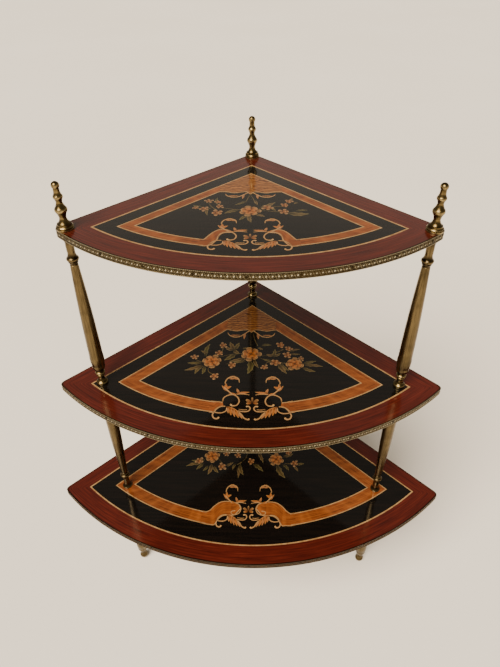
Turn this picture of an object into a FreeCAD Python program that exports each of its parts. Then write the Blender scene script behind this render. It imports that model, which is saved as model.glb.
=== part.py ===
import FreeCAD, Part
import math
import os

# Three-tier corner stand: quarter-round shelves held on three turned brass posts.
# Millimetres. The floor is z = 0 and +Z is up. The square corner points to +Y,
# the round fronts face -Y, and the stand is symmetric about x = 0.

# Shelves
corner_angle = 90.0
top_shelf_side = 243.7
middle_shelf_side = 291.5
bottom_shelf_side = 338.0
straight_side_step = 20.5
shelf_thickness = 7.0
veneer_thickness = 0.6
back_corner_round = 6.0
top_tip_round = 8.0
lower_tip_round = 5.0

# Edging round each shelf: a brass strip on the front, a wood lipping on the straight sides
edging_thickness = 1.6
trim_lip_height = 0.9
trim_groove_height = 1.0
trim_groove_depth = 0.5
trim_pin_count = 9
trim_pin_spread_angle = 40.0
trim_pin_diameter = 1.0
trim_pin_length = 8.0
trim_pin_head_diameter = 2.0
trim_pin_head_height = 0.4
trim_pin_clearance = 0.1

# Inlay of each shelf, laid in from the outside: border, boxwood line, black ground, band.
# The bottom band runs under the front posts, so its margins count from their centres,
# and the black ground between it and the line keeps a least width.
top_line_side_inset = 22.7
middle_line_side_inset = 24.0
bottom_line_side_inset = 19.8
line_arc_inset = 23.6
line_width = 1.6
top_band_side_inset = 38.1
top_band_arc_inset = 38.1
top_band_width = 10.6
middle_band_side_inset = 42.6
middle_band_arc_inset = 43.4
middle_band_width = 15.0
bottom_band_width = 16.4
bottom_band_side_margin = 10.1
bottom_band_arc_margin = 9.6
least_ground_width = 5.0
top_panel_reach = 99.0
middle_panel_reach = 111.0
bottom_panel_reach = 125.0
panel_scallop_width = 20.0
panel_scallop_depth = 3.0
top_band_gap = 76.0
middle_band_gap = 66.0
bottom_band_gap = 84.0

# Posts: a tie rod through sleeves, with a finial on top and a foot below
front_post_side_inset = 10.3
front_post_arc_inset = 7.5
back_post_side_inset = 6.2
tie_rod_diameter = 4.0
thread_clearance = 0.05
thread_depth = 7.5
rod_end_gap = 0.5
sleeve_clearance = 0.2
shelf_hole_clearance = 0.2
sleeve_wall = 1.0
neck_collar_length = 29.0
neck_collar_projection = 2.7
shaft_length = 131.0
shaft_swell = 3.8
base_collar_length = 18.5
base_collar_projection = 2.8
finial_height = 43.4
finial_radius = 7.6
foot_height = 18.5
foot_radius = 5.7

# One overrun serves every cut that has to pass right through a face
cut_overrun = 2.0

# Turned outlines, from the bored end outwards. Each row is the height share, the share
# of the projection that stands out there, and the arc's rise as a share of its chord.
neck_collar_shares = [
    (0.00, 1.00, 0.0),
    (0.05, 1.00, 0.0),
    (0.30, 0.18, -0.12),
    (0.52, 0.17, 0.0),
    (0.72, 0.52, -0.08),
    (0.735, 0.64, 0.0),
    (0.85, 0.64, 0.24),
    (0.865, 0.33, 0.0),
    (0.93, 0.33, 0.25),
    (0.96, 0.22, 0.0),
    (1.00, 0.22, 0.0),
]
base_collar_shares = [
    (0.00, 0.95, 0.0),
    (0.05, 0.95, 0.0),
    (0.20, 0.72, 0.22),
    (0.23, 0.45, 0.0),
    (0.45, 0.03, -0.12),
    (0.55, 0.03, 0.0),
    (0.62, 0.30, -0.05),
    (0.70, 0.30, 0.25),
    (0.73, 0.12, 0.0),
    (0.76, 0.45, 0.0),
    (0.90, 0.45, 0.28),
    (0.93, 0.20, 0.0),
    (1.00, 0.20, 0.0),
]
shaft_shares = [
    (0.00, 0.17, 0.0),
    (0.83, 1.00, 0.006),
    (0.94, 0.86, 0.04),
    (1.00, 0.28, 0.12),
]
finial_shares = [
    (0.00, 1.00, 0.0),
    (0.03, 1.00, 0.0),
    (0.038, 0.92, 0.0),
    (0.055, 0.93, 0.0),
    (0.07, 0.98, 0.0),
    (0.085, 0.90, 0.0),
    (0.095, 0.83, 0.0),
    (0.125, 0.82, 0.0),
    (0.132, 0.72, 0.0),
    (0.255, 0.41, -0.10),
    (0.385, 0.68, -0.06),
    (0.455, 0.67, 0.12),
    (0.576, 0.36, -0.06),
    (0.665, 0.52, -0.06),
    (0.72, 0.50, 0.15),
    (0.80, 0.36, -0.06),
    (0.867, 0.35, 0.0),
    (1.00, 0.05, 0.31),
]
foot_shares = [
    (0.00, 0.75, 0.0),
    (0.03, 0.81, 0.0),
    (0.09, 0.81, 0.0),
    (0.12, 0.75, 0.0),
    (0.16, 0.64, 0.0),
    (0.38, 0.54, -0.08),
    (0.44, 0.64, 0.0),
    (0.57, 0.90, 0.0),
    (0.81, 0.90, 0.13),
    (0.98, 0.62, 0.0),
    (1.00, 0.56, 0.0),
]

# Heights and places that follow from the sizes above
half_corner = math.radians(corner_angle / 2)
tie_rod_radius = tie_rod_diameter / 2
sleeve_bore_radius = tie_rod_radius + sleeve_clearance
neck_radius = sleeve_bore_radius + sleeve_wall
shelf_hole_radius = tie_rod_radius + shelf_hole_clearance
column_length = neck_collar_length + shaft_length + base_collar_length
bottom_shelf_base = foot_height + shaft_length + base_collar_length
middle_shelf_base = bottom_shelf_base + shelf_thickness + column_length
top_shelf_base = middle_shelf_base + shelf_thickness + column_length
finial_base = top_shelf_base + shelf_thickness

# The rounded back corner stands this far short of the sharp one
corner_setback = back_corner_round / math.sin(half_corner) - back_corner_round
bottom_corner_y = (bottom_shelf_side + corner_setback) / 2
corner_step = straight_side_step / math.sin(half_corner)
middle_corner_y = bottom_corner_y - corner_step
top_corner_y = middle_corner_y - corner_step


def side_distance(corner_y):
    """Distance of a front post from the straight side of a shelf."""
    return front_post_side_inset + (corner_y - top_corner_y) * math.sin(half_corner)


def corner_shift(corner_y):
    """How far along its side a shelf's corner lies behind the top shelf's corner."""
    return (corner_y - top_corner_y) * math.cos(half_corner)


def allowed_reach(shelf_side, corner_y, arc_inset):
    """Reach along the top shelf's side that one shelf's arc allows a front post."""
    radius = shelf_side - arc_inset
    turn = math.asin(side_distance(corner_y) / radius)
    return radius * math.cos(turn) - corner_shift(corner_y)


# A front post passes all three shelves, so the least reach that they allow sets its place
bottom_band_arc_room = line_arc_inset + line_width + least_ground_width + bottom_band_arc_margin
front_post_reach = min(
    allowed_reach(bottom_shelf_side, bottom_corner_y, bottom_band_arc_room),
    allowed_reach(middle_shelf_side, middle_corner_y, front_post_arc_inset),
    allowed_reach(top_shelf_side, top_corner_y, front_post_arc_inset),
)
bottom_post_side_distance = side_distance(bottom_corner_y)
bottom_post_radius = math.hypot(front_post_reach + corner_shift(bottom_corner_y),
                                bottom_post_side_distance)
bottom_band_side_inset = bottom_post_side_distance - bottom_band_side_margin
bottom_band_arc_inset = bottom_shelf_side - bottom_post_radius - bottom_band_arc_margin


class Tier:
    """One shelf: its place, its outline and the insets of its inlay."""

    def __init__(self, name, base, corner_y, side, tip_round, line_inset, band, panel_reach):
        self.name = name
        self.base = base
        self.corner_y = corner_y
        self.side = side
        self.tip_round = tip_round
        self.line_side_inset = line_inset
        self.band_side_inset, self.band_arc_inset, self.band_width, self.band_gap = band
        self.panel_reach = panel_reach
        self.veneer_base = base + shelf_thickness - veneer_thickness


bottom_band = (bottom_band_side_inset, bottom_band_arc_inset, bottom_band_width, bottom_band_gap)
middle_band = (middle_band_side_inset, middle_band_arc_inset, middle_band_width, middle_band_gap)
top_band = (top_band_side_inset, top_band_arc_inset, top_band_width, top_band_gap)
tiers = [
    Tier("bottom", bottom_shelf_base, bottom_corner_y, bottom_shelf_side,
         lower_tip_round, bottom_line_side_inset, bottom_band, bottom_panel_reach),
    Tier("middle", middle_shelf_base, middle_corner_y, middle_shelf_side,
         lower_tip_round, middle_line_side_inset, middle_band, middle_panel_reach),
    Tier("top", top_shelf_base, top_corner_y, top_shelf_side,
         top_tip_round, top_line_side_inset, top_band, top_panel_reach),
]
top_tier = tiers[-1]


def side_point(tier, along, inward, side_sign=1):
    """Point found along a straight side from the corner, then inwards from that side."""
    x = along * math.sin(half_corner) - inward * math.cos(half_corner)
    y = tier.corner_y - along * math.cos(half_corner) - inward * math.sin(half_corner)
    return FreeCAD.Vector(side_sign * x, y, 0)


def post_places():
    """Name, x and y of each post, set in from the straight sides of the top shelf."""
    front = side_point(top_tier, front_post_reach, front_post_side_inset)
    back_y = top_tier.corner_y - back_post_side_inset / math.sin(half_corner)
    return [("left", -front.x, front.y), ("right", front.x, front.y), ("back", 0, back_y)]


def tip_angle(tier, side_inset, arc_inset, tip_round):
    """Angle from the straight side to the centre of the rounded tip."""
    return math.asin((side_inset + tip_round) / (tier.side - arc_inset - tip_round))


def tip_side_reach(tier, side_inset, arc_inset, tip_round):
    """Distance along the side at which the rounded tip begins."""
    turn = tip_angle(tier, side_inset, arc_inset, tip_round)
    return (tier.side - arc_inset - tip_round) * math.cos(turn)


def sector_outline(tier, side_inset, arc_inset, corner_round, tip_round):
    """Closed outline of a quarter-round shelf, set in from its sides and its arc."""
    radius = tier.side - arc_inset
    turn = tip_angle(tier, side_inset, arc_inset, tip_round)
    side_start = (side_inset + corner_round) / math.tan(half_corner)
    side_end = tip_side_reach(tier, side_inset, arc_inset, tip_round)
    front = FreeCAD.Vector(0, tier.corner_y - radius, 0)

    def arc_start(side_sign):
        return side_point(tier, radius * math.cos(turn), radius * math.sin(turn), side_sign)

    def tip_middle(side_sign):
        # the middle of the tip's arc lies between square to the side and outwards
        lean = (turn - math.pi / 2) / 2
        along = side_end + tip_round * math.cos(lean)
        inward = side_inset + tip_round + tip_round * math.sin(lean)
        return side_point(tier, along, inward, side_sign)

    near = side_point(tier, side_start, side_inset)
    far = side_point(tier, side_end, side_inset)
    near_left = side_point(tier, side_start, side_inset, -1)
    far_left = side_point(tier, side_end, side_inset, -1)
    edges = [Part.LineSegment(near, far).toShape()]
    if tip_round > 0:
        edges.append(Part.Arc(far, tip_middle(1), arc_start(1)).toShape())
    edges.append(Part.Arc(arc_start(1), front, arc_start(-1)).toShape())
    if tip_round > 0:
        edges.append(Part.Arc(arc_start(-1), tip_middle(-1), far_left).toShape())
    edges.append(Part.LineSegment(far_left, near_left).toShape())
    if corner_round > 0:
        centre_y = tier.corner_y - (side_inset + corner_round) / math.sin(half_corner)
        crown = FreeCAD.Vector(0, centre_y + corner_round, 0)
        edges.append(Part.Arc(near_left, crown, near).toShape())
    return Part.Wire(edges)


def plate(outline, base, height):
    """Flat plate of a closed outline, from base upwards."""
    face = Part.Face(outline)
    face.translate(FreeCAD.Vector(0, 0, base))
    return face.extrude(FreeCAD.Vector(0, 0, height))


def polygon_plate(points, base, height):
    """Flat plate with straight edges between its points."""
    return plate(Part.makePolygon(points + [points[0]]), base, height)


def sector_plate(tier, side_inset, arc_inset, base, height, corner_round=0, tip_round=0):
    """Quarter-round plate set in from the shelf's edges."""
    outline = sector_outline(tier, side_inset, arc_inset, corner_round, tip_round)
    return plate(outline, base, height)


def cylinder(radius, height, base, direction=FreeCAD.Vector(0, 0, 1)):
    """Round bar from its base point along a direction."""
    return Part.makeCylinder(radius, height, base, direction)


def drill_posts(solid, tier):
    """Cut the three tie rod holes right through a shelf layer."""
    height = shelf_thickness + 2 * cut_overrun
    for name, x, y in post_places():
        base = FreeCAD.Vector(x, y, tier.base - cut_overrun)
        solid = solid.cut(cylinder(shelf_hole_radius, height, base))
    return solid


def outline_points(shares, length, inner_radius, projection):
    """Radius, height and rise of each row of a turned outline."""
    points = []
    for height_share, projection_share, rise_share in shares:
        radius = inner_radius + projection_share * projection
        points.append((radius, height_share * length, rise_share))
    return points


def outline_edges(points):
    """Lines and arcs through the rows of a turned outline."""
    edges = []
    for start, end in zip(points, points[1:]):
        first = FreeCAD.Vector(start[0], 0, start[1])
        last = FreeCAD.Vector(end[0], 0, end[1])
        rise_share = end[2]
        if rise_share == 0:
            edges.append(Part.LineSegment(first, last).toShape())
        else:
            run = last - first
            outwards = FreeCAD.Vector(run.z, 0, -run.x)
            middle = (first + last) / 2 + outwards * rise_share
            edges.append(Part.Arc(first, middle, last).toShape())
    return edges


def turned(points, bore_radius, bore_depth):
    """Turned solid about the Z axis, bored from its base for the bore's depth."""
    length = points[-1][1]
    corners = []
    if bore_depth < length:
        if points[-1][0] > 0:
            corners.append(FreeCAD.Vector(0, 0, length))
        corners.append(FreeCAD.Vector(0, 0, bore_depth))
    corners.append(FreeCAD.Vector(bore_radius, 0, min(bore_depth, length)))
    corners.append(FreeCAD.Vector(bore_radius, 0, 0))
    corners.append(FreeCAD.Vector(points[0][0], 0, points[0][1]))
    edges = outline_edges(points)
    start = FreeCAD.Vector(points[-1][0], 0, points[-1][1])
    for corner in corners:
        edges.append(Part.LineSegment(start, corner).toShape())
        start = corner
    face = Part.Face(Part.Wire(edges))
    return face.revolve(FreeCAD.Vector(0, 0, 0), FreeCAD.Vector(0, 0, 1), 360)


def placed(solid, x, y, base, length, upside_down=False):
    """Stand a turned piece on its base height, either way up."""
    solid = solid.copy()
    if upside_down:
        solid.rotate(FreeCAD.Vector(0, 0, 0), FreeCAD.Vector(1, 0, 0), 180)
        solid.translate(FreeCAD.Vector(0, 0, length))
    solid.translate(FreeCAD.Vector(x, y, base))
    return solid


def neck_collar():
    """Slim collar with a flared end ring, for the narrow end of a shaft."""
    points = outline_points(neck_collar_shares, neck_collar_length, neck_radius,
                            neck_collar_projection)
    return turned(points, sleeve_bore_radius, neck_collar_length)


def base_collar():
    """Broad collar with beads, for the wide end of a shaft."""
    points = outline_points(base_collar_shares, base_collar_length, neck_radius,
                            base_collar_projection)
    return turned(points, sleeve_bore_radius, base_collar_length)


def shaft():
    """Long tapering sleeve that swells towards its rounded end."""
    points = outline_points(shaft_shares, shaft_length, neck_radius, shaft_swell)
    return turned(points, sleeve_bore_radius, shaft_length)


def finial():
    """Turned finial with base rings, two swells and a ball, tapped from below."""
    points = outline_points(finial_shares, finial_height, 0, finial_radius)
    return turned(points, tie_rod_radius + thread_clearance, thread_depth)


def foot():
    """Turned foot, drawn from its tapped top end down to the flat pad on the floor."""
    points = outline_points(foot_shares, foot_height, 0, foot_radius)
    return turned(points, tie_rod_radius + thread_clearance, thread_depth)


def tie_rod(x, y):
    """Rod from the foot's blind hole up to the finial's."""
    low = foot_height - thread_depth + rod_end_gap
    high = finial_base + thread_depth - rod_end_gap
    return cylinder(tie_rod_radius, high - low, FreeCAD.Vector(x, y, low))


def edging_ring(tier):
    """Ring of edging round a whole shelf, before it is parted into trim and lipping."""
    outer = sector_plate(tier, 0, 0, tier.base, shelf_thickness,
                         back_corner_round, tier.tip_round)
    return outer.cut(shelf_core(tier, tier.base, shelf_thickness))


def shelf_core(tier, base, height):
    """Plate of the shelf inside its edging."""
    return sector_plate(tier, edging_thickness, edging_thickness, base, height,
                        back_corner_round - edging_thickness,
                        tier.tip_round - edging_thickness)


def straight_side_strips(tier):
    """Strips over both straight sides, which part the lipping from the trim."""
    side_end = tip_side_reach(tier, 0, 0, tier.tip_round)
    depth = back_corner_round + edging_thickness
    base = tier.base - cut_overrun
    height = shelf_thickness + 2 * cut_overrun
    strips = []
    for side_sign in (1, -1):
        points = [
            side_point(tier, -cut_overrun, -cut_overrun, side_sign),
            side_point(tier, side_end, -cut_overrun, side_sign),
            side_point(tier, side_end, depth, side_sign),
            side_point(tier, -cut_overrun, depth, side_sign),
        ]
        strips.append(polygon_plate(points, base, height))
    return strips[0].fuse(strips[1])


def pin_places(tier):
    """Outward direction, head face and height of each pin of a shelf's trim."""
    places = []
    for index in range(trim_pin_count):
        share = 2 * index / max(trim_pin_count - 1, 1) - 1
        angle = math.radians(share * trim_pin_spread_angle)
        outward = FreeCAD.Vector(math.sin(angle), -math.cos(angle), 0)
        centre = FreeCAD.Vector(0, tier.corner_y, tier.base + shelf_thickness / 2)
        places.append((outward, centre + outward * tier.side))
    return places


def pin_shape(outward, face, clearance, end_gap, overrun):
    """Headed pin driven inwards from the trim's face, or the hole that it needs."""
    head_start = face + outward * overrun
    head = cylinder(trim_pin_head_diameter / 2 + clearance, trim_pin_head_height + overrun,
                    head_start, outward * -1)
    shank_start = face - outward * trim_pin_head_height
    shank = cylinder(trim_pin_diameter / 2 + clearance, trim_pin_length + end_gap,
                     shank_start, outward * -1)
    return head.fuse(shank)


def drill_pins(solid, tier):
    """Cut the pin holes into a trim or a shelf board."""
    for outward, face in pin_places(tier):
        hole = pin_shape(outward, face, trim_pin_clearance, trim_pin_clearance, cut_overrun)
        solid = solid.cut(hole)
    return solid


def trim_pins():
    """All the pins that hold the brass trims."""
    pins = []
    for tier in tiers:
        for outward, face in pin_places(tier):
            pins.append(pin_shape(outward, face, 0, 0, 0))
    return Part.makeCompound(pins)


def edge_trim(tier):
    """Brass strip round the front arc and the tips, grooved between lips and bead."""
    trim = edging_ring(tier).cut(straight_side_strips(tier))
    low_groove = tier.base + trim_lip_height
    high_groove = tier.base + shelf_thickness - trim_lip_height - trim_groove_height
    for base in (low_groove, high_groove):
        outside = sector_plate(tier, -cut_overrun, -cut_overrun, base, trim_groove_height,
                               back_corner_round + cut_overrun,
                               tier.tip_round + cut_overrun)
        inside = sector_plate(tier, trim_groove_depth, trim_groove_depth, base,
                              trim_groove_height, back_corner_round - trim_groove_depth,
                              tier.tip_round - trim_groove_depth)
        trim = trim.cut(outside.cut(inside))
    return drill_pins(trim, tier)


def side_lipping(tier):
    """Wood lipping along both straight sides and round the back corner."""
    return edging_ring(tier).common(straight_side_strips(tier))


def shelf_board(tier):
    """Plywood board under the veneers, drilled for the rods and the pins."""
    board = shelf_core(tier, tier.base, shelf_thickness - veneer_thickness)
    return drill_pins(drill_posts(board, tier), tier)


def line_plate(tier, inset):
    """Plate whose edge runs beside the boxwood line."""
    return sector_plate(tier, tier.line_side_inset + inset, line_arc_inset + inset,
                        tier.veneer_base, veneer_thickness)


def border_veneer(tier):
    """Mahogany border between the edging and the boxwood line."""
    border = shelf_core(tier, tier.veneer_base, veneer_thickness).cut(line_plate(tier, 0))
    return drill_posts(border, tier)


def boxwood_line(tier):
    """Pale inlaid line round the black ground."""
    line = line_plate(tier, 0).cut(line_plate(tier, line_width))
    return drill_posts(line, tier)


def panel_plate(tier):
    """Region behind the scalloped edge of the burr panel in the back corner."""
    edge_y = tier.corner_y - tier.panel_reach
    half_width = tier.panel_reach
    cusps = [-half_width, -panel_scallop_width * 3 / 2, -panel_scallop_width / 2,
             panel_scallop_width / 2, panel_scallop_width * 3 / 2, half_width]
    edges = []
    for left, right in zip(cusps, cusps[1:]):
        first = FreeCAD.Vector(left, edge_y, 0)
        last = FreeCAD.Vector(right, edge_y, 0)
        if abs(left) < half_width and abs(right) < half_width:
            middle = FreeCAD.Vector((left + right) / 2, edge_y + panel_scallop_depth, 0)
            edges.append(Part.Arc(first, middle, last).toShape())
        else:
            edges.append(Part.LineSegment(first, last).toShape())
    corners = [
        FreeCAD.Vector(half_width, edge_y, 0),
        FreeCAD.Vector(half_width, tier.corner_y, 0),
        FreeCAD.Vector(-half_width, tier.corner_y, 0),
        FreeCAD.Vector(-half_width, edge_y, 0),
    ]
    for first, last in zip(corners, corners[1:]):
        edges.append(Part.LineSegment(first, last).toShape())
    return plate(Part.Wire(edges), tier.veneer_base, veneer_thickness)


def band_plate(tier, inset):
    """Plate whose edge runs along the band, set in by part of the band's width."""
    return sector_plate(tier, tier.band_side_inset + inset, tier.band_arc_inset + inset,
                        tier.veneer_base, veneer_thickness)


def band_gap(tier):
    """Opening at the front centre of the band, where the black ground passes through."""
    half_gap = tier.band_gap / 2
    front_y = tier.corner_y - tier.side
    back_y = front_y + tier.band_arc_inset + 2 * tier.band_width
    points = [
        FreeCAD.Vector(-half_gap, front_y, 0),
        FreeCAD.Vector(half_gap, front_y, 0),
        FreeCAD.Vector(half_gap, back_y, 0),
        FreeCAD.Vector(-half_gap, back_y, 0),
    ]
    return polygon_plate(points, tier.veneer_base, veneer_thickness)


def whole_band(tier):
    """Tulipwood band with the burr panel in its back corner, before drilling."""
    field = band_plate(tier, tier.band_width).cut(panel_plate(tier))
    return band_plate(tier, 0).cut(field).cut(band_gap(tier))


def tulipwood_band(tier):
    """Tulipwood band as laid, drilled where a post passes."""
    return drill_posts(whole_band(tier), tier)


def black_ground(tier):
    """Ebonised ground that fills the boxwood line round the band."""
    ground = line_plate(tier, line_width).cut(whole_band(tier))
    return drill_posts(ground, tier)


def save(name, shape):
    """Write one node as a STEP file, with its seams cleaned up."""
    solids = shape.removeSplitter().Solids
    if len(solids) == 1:
        node = solids[0]
    else:
        node = Part.makeCompound(solids)
    node.exportStep(os.path.join("parts", name + ".step"))


def save_shelves():
    """Board, edging and inlay of every shelf."""
    for tier in tiers:
        save(tier.name + "_shelf_board", shelf_board(tier))
        save(tier.name + "_side_lipping", side_lipping(tier))
        save(tier.name + "_edge_trim", edge_trim(tier))
        save(tier.name + "_border_veneer", border_veneer(tier))
        save(tier.name + "_boxwood_line", boxwood_line(tier))
        save(tier.name + "_tulipwood_band", tulipwood_band(tier))
        save(tier.name + "_black_ground", black_ground(tier))
    save("trim_pins", trim_pins())


def save_stack(name, x, y, base, pieces):
    """Turned pieces one on another. Each has its name, maker, length and way up."""
    for suffix, make, length, upside_down in pieces:
        save(name + "_" + suffix, placed(make(), x, y, base, length, upside_down))
        base += length


def save_posts():
    """Every piece of the three posts: legs, two stages of columns, rods and finials."""
    leg = [
        ("foot", foot, foot_height, True),
        ("leg_shaft", shaft, shaft_length, True),
        ("leg_collar", base_collar, base_collar_length, True),
    ]
    lower_column = [
        ("lower_neck_collar", neck_collar, neck_collar_length, False),
        ("lower_shaft", shaft, shaft_length, False),
        ("lower_base_collar", base_collar, base_collar_length, True),
    ]
    upper_column = [
        ("upper_base_collar", base_collar, base_collar_length, False),
        ("upper_shaft", shaft, shaft_length, True),
        ("upper_neck_collar", neck_collar, neck_collar_length, True),
    ]
    for name, x, y in post_places():
        save_stack(name, x, y, 0, leg)
        save_stack(name, x, y, bottom_shelf_base + shelf_thickness, lower_column)
        save_stack(name, x, y, middle_shelf_base + shelf_thickness, upper_column)
        save_stack(name, x, y, finial_base, [("finial", finial, finial_height, False)])
        save(name + "_tie_rod", tie_rod(x, y))


os.makedirs("parts", exist_ok=True)
save_shelves()
save_posts()
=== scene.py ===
import logging
import math
from dataclasses import dataclass, field
from enum import Enum
from typing import Any, Sequence

import bmesh
import bpy
import numpy as np
from mathutils import Matrix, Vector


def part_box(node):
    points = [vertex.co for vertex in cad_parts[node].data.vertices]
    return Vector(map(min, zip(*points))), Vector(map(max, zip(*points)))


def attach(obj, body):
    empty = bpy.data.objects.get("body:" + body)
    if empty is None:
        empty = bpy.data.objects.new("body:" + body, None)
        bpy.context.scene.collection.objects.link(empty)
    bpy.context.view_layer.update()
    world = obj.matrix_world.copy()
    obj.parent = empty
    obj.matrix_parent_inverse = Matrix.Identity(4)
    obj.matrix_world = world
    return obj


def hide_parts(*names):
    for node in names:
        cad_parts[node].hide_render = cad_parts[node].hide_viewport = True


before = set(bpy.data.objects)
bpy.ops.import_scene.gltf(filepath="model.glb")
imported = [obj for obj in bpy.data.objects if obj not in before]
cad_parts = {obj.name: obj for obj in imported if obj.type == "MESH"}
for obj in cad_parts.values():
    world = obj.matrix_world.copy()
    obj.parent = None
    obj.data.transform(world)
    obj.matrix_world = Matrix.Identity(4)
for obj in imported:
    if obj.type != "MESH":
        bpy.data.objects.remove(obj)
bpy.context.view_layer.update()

# Looks of a three-tier corner stand: marquetry shelves, embossed edges, turned brass posts.
# Sizes are millimetres unless a name says otherwise, and meshes are written in metres.

Array = np.ndarray
Tree = bpy.types.NodeTree
Node = bpy.types.Node
Socket = bpy.types.NodeSocket
Point = tuple[float, float]

# A value's start and end, which may run downwards
Span = tuple[float, float]

MM = 0.001
DIAGONAL = math.sqrt(0.5)
FULL_TURN = 2 * math.pi
QUARTER = math.pi / 4
# Radians that the wave texture turns over one unit at a scale of 1
WAVE_TURN = 20.0
# Layers of finer noise: few for soft patches, more for sharp grain
SOFT_DETAIL = 2.0
EVEN_DETAIL = 3.0
FINE_DETAIL = 4.0
# Sockets of the Mix node when it mixes two colours
MIX_SHARE = 0
MIX_FIRST = 6
MIX_SECOND = 7
MIX_RESULT = 2
# Share from the middle of a small cut piece to its edge
HALF_WIDTH = 0.5
GRAIN_MAP = "grain"
TINT = "tint"
BODY = "root"
WELD_DISTANCE = 0.002
# Part of a turn that spreads repeated pieces without a visible rhythm
GOLDEN_SHARE = 0.618
log = logging.getLogger("corner_stand")


# Colours and shader nodes


def linear(colour: str) -> tuple[float, float, float, float]:
    """Turn an sRGB hex colour into linear light.

    Args:
        colour: six hex digits after a hash mark.

    Returns:
        Red, green, blue and an alpha of one.
    """
    channels = [int(colour[start:start + 2], 16) / 255 for start in (1, 3, 5)]
    bent = [c / 12.92 if c <= 0.04045 else ((c + 0.055) / 1.055) ** 2.4 for c in channels]
    return (bent[0], bent[1], bent[2], 1.0)


def per_metre(length: float) -> float:
    """Pattern scale that repeats once in a length given in millimetres."""
    return 1 / (length * MM)


def add(
    tree: Tree,
    kind: str,
    inputs: dict[Any, Any] | None = None,
    stops: Sequence[tuple[float, str]] = (),
    **settings: Any,
) -> Node:
    """Add one node with its settings, constants and links.

    Args:
        tree: the material's or the world's node tree.
        kind: Blender's name for the node.
        inputs: a socket name or number, and the constant or output that feeds it.
        stops: place and hex colour of each stop, for a colour ramp.
        settings: the node's own properties.

    Returns:
        The new node.
    """
    node = tree.nodes.new(kind)
    for key, value in settings.items():
        setattr(node, key, value)
    for key, value in (inputs or {}).items():
        if isinstance(value, Socket):
            tree.links.new(value, node.inputs[key])
        else:
            node.inputs[key].default_value = value
    if stops:
        ends = node.color_ramp.elements
        ends[0].position, ends[1].position = stops[0][0], stops[-1][0]
        ends[0].color, ends[1].color = linear(stops[0][1]), linear(stops[-1][1])
        for place, colour in stops[1:-1]:
            ends.new(place).color = linear(colour)
    return node


def stretched_noise(
    tree: Tree,
    vector: Socket,
    lengths: Sequence[float],
    detail: float,
    roughness: float = 0.5,
    bend: float = 0.0,
) -> Socket:
    """Noise whose grains have their own length along each axis.

    Args:
        tree: the material's node tree.
        vector: the coordinates that it follows.
        lengths: length of a grain along each axis, in millimetres.
        detail: how many finer layers lie on the first.
        roughness: how strong the finer layers are.
        bend: how far the noise bends itself.

    Returns:
        The noise, from 0 to 1.
    """
    stretched = add(tree, "ShaderNodeMapping", {
        "Vector": vector, "Scale": tuple(per_metre(length) for length in lengths)})
    return add(tree, "ShaderNodeTexNoise", {
        "Vector": stretched.outputs[0], "Scale": 1.0, "Detail": detail,
        "Roughness": roughness, "Distortion": bend}).outputs["Fac"]


def overlay(
    tree: Tree, value: Socket, span: Span, most: float, colour: Socket, over: str
) -> Socket:
    """Lay a second colour over the first, more of it as a value crosses a span.

    Args:
        tree: the material's node tree.
        value: what decides how much of the second colour shows.
        span: the value where it starts to show, and the value where it shows most.
        most: the greatest share of the second colour.
        colour: the colour so far.
        over: the second colour, in hex.

    Returns:
        The mixed colour.
    """
    mask = add(tree, "ShaderNodeMapRange", {
        "Value": value, "From Min": span[0], "From Max": span[1], "To Max": most})
    return add(tree, "ShaderNodeMix", {
        MIX_SHARE: mask.outputs[0], MIX_FIRST: colour, MIX_SECOND: linear(over)},
        data_type="RGBA").outputs[MIX_RESULT]


# Finishes


class Grain(Enum):
    """Which coordinates a pattern follows."""

    SURFACE = "UV"
    STAND = "Object"


@dataclass(frozen=True)
class Finish:
    """A named surface, built as one material that every piece with it shares."""

    name: str

    def make(self) -> bpy.types.Material:
        """Build the material the first time, and find it again afterwards.

        Returns:
            The material of this finish.
        """
        known = bpy.data.materials.get(self.name)
        if known is not None:
            return known
        material = bpy.data.materials.new(self.name)
        material.use_nodes = True
        tree = material.node_tree
        tree.nodes.clear()
        shader = add(tree, "ShaderNodeBsdfPrincipled")
        add(tree, "ShaderNodeOutputMaterial", {"Surface": shader.outputs[0]})
        self.paint(tree, shader)
        return material

    def paint(self, tree: Tree, shader: Node) -> None:
        """Give the shader its colour and relief."""
        raise NotImplementedError


@dataclass(frozen=True)
class Lacquered(Finish):
    """Wood under a thick rubbed lacquer, whose film is slightly wavy.

    The wood below hardly gleams by itself, because the lacquer fills its fibres.
    """

    roughness: float = 0.42
    gleam: float = 0.06
    film: float = 1.0
    film_roughness: float = 0.085
    film_index: float = 1.5
    wave_length: float = 42.0
    wave_height: float = 0.012
    wave_detail: float = 1.5

    def varnish(self, tree: Tree, shader: Node) -> None:
        """Lay the lacquer film, with long shallow waves in its reflections.

        Args:
            tree: the material's node tree.
            shader: its principled shader.
        """
        place = add(tree, "ShaderNodeTexCoord")
        wave = add(tree, "ShaderNodeTexNoise", {
            "Vector": place.outputs["Object"], "Scale": per_metre(self.wave_length),
            "Detail": self.wave_detail})
        bump = add(tree, "ShaderNodeBump", {
            "Height": wave.outputs["Fac"], "Strength": 1.0,
            "Distance": self.wave_height * MM})
        tree.links.new(bump.outputs["Normal"], shader.inputs["Coat Normal"])
        shader.inputs["Roughness"].default_value = self.roughness
        shader.inputs["Specular IOR Level"].default_value = self.gleam
        shader.inputs["Coat Weight"].default_value = self.film
        shader.inputs["Coat Roughness"].default_value = self.film_roughness
        shader.inputs["Coat IOR"].default_value = self.film_index


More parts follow.
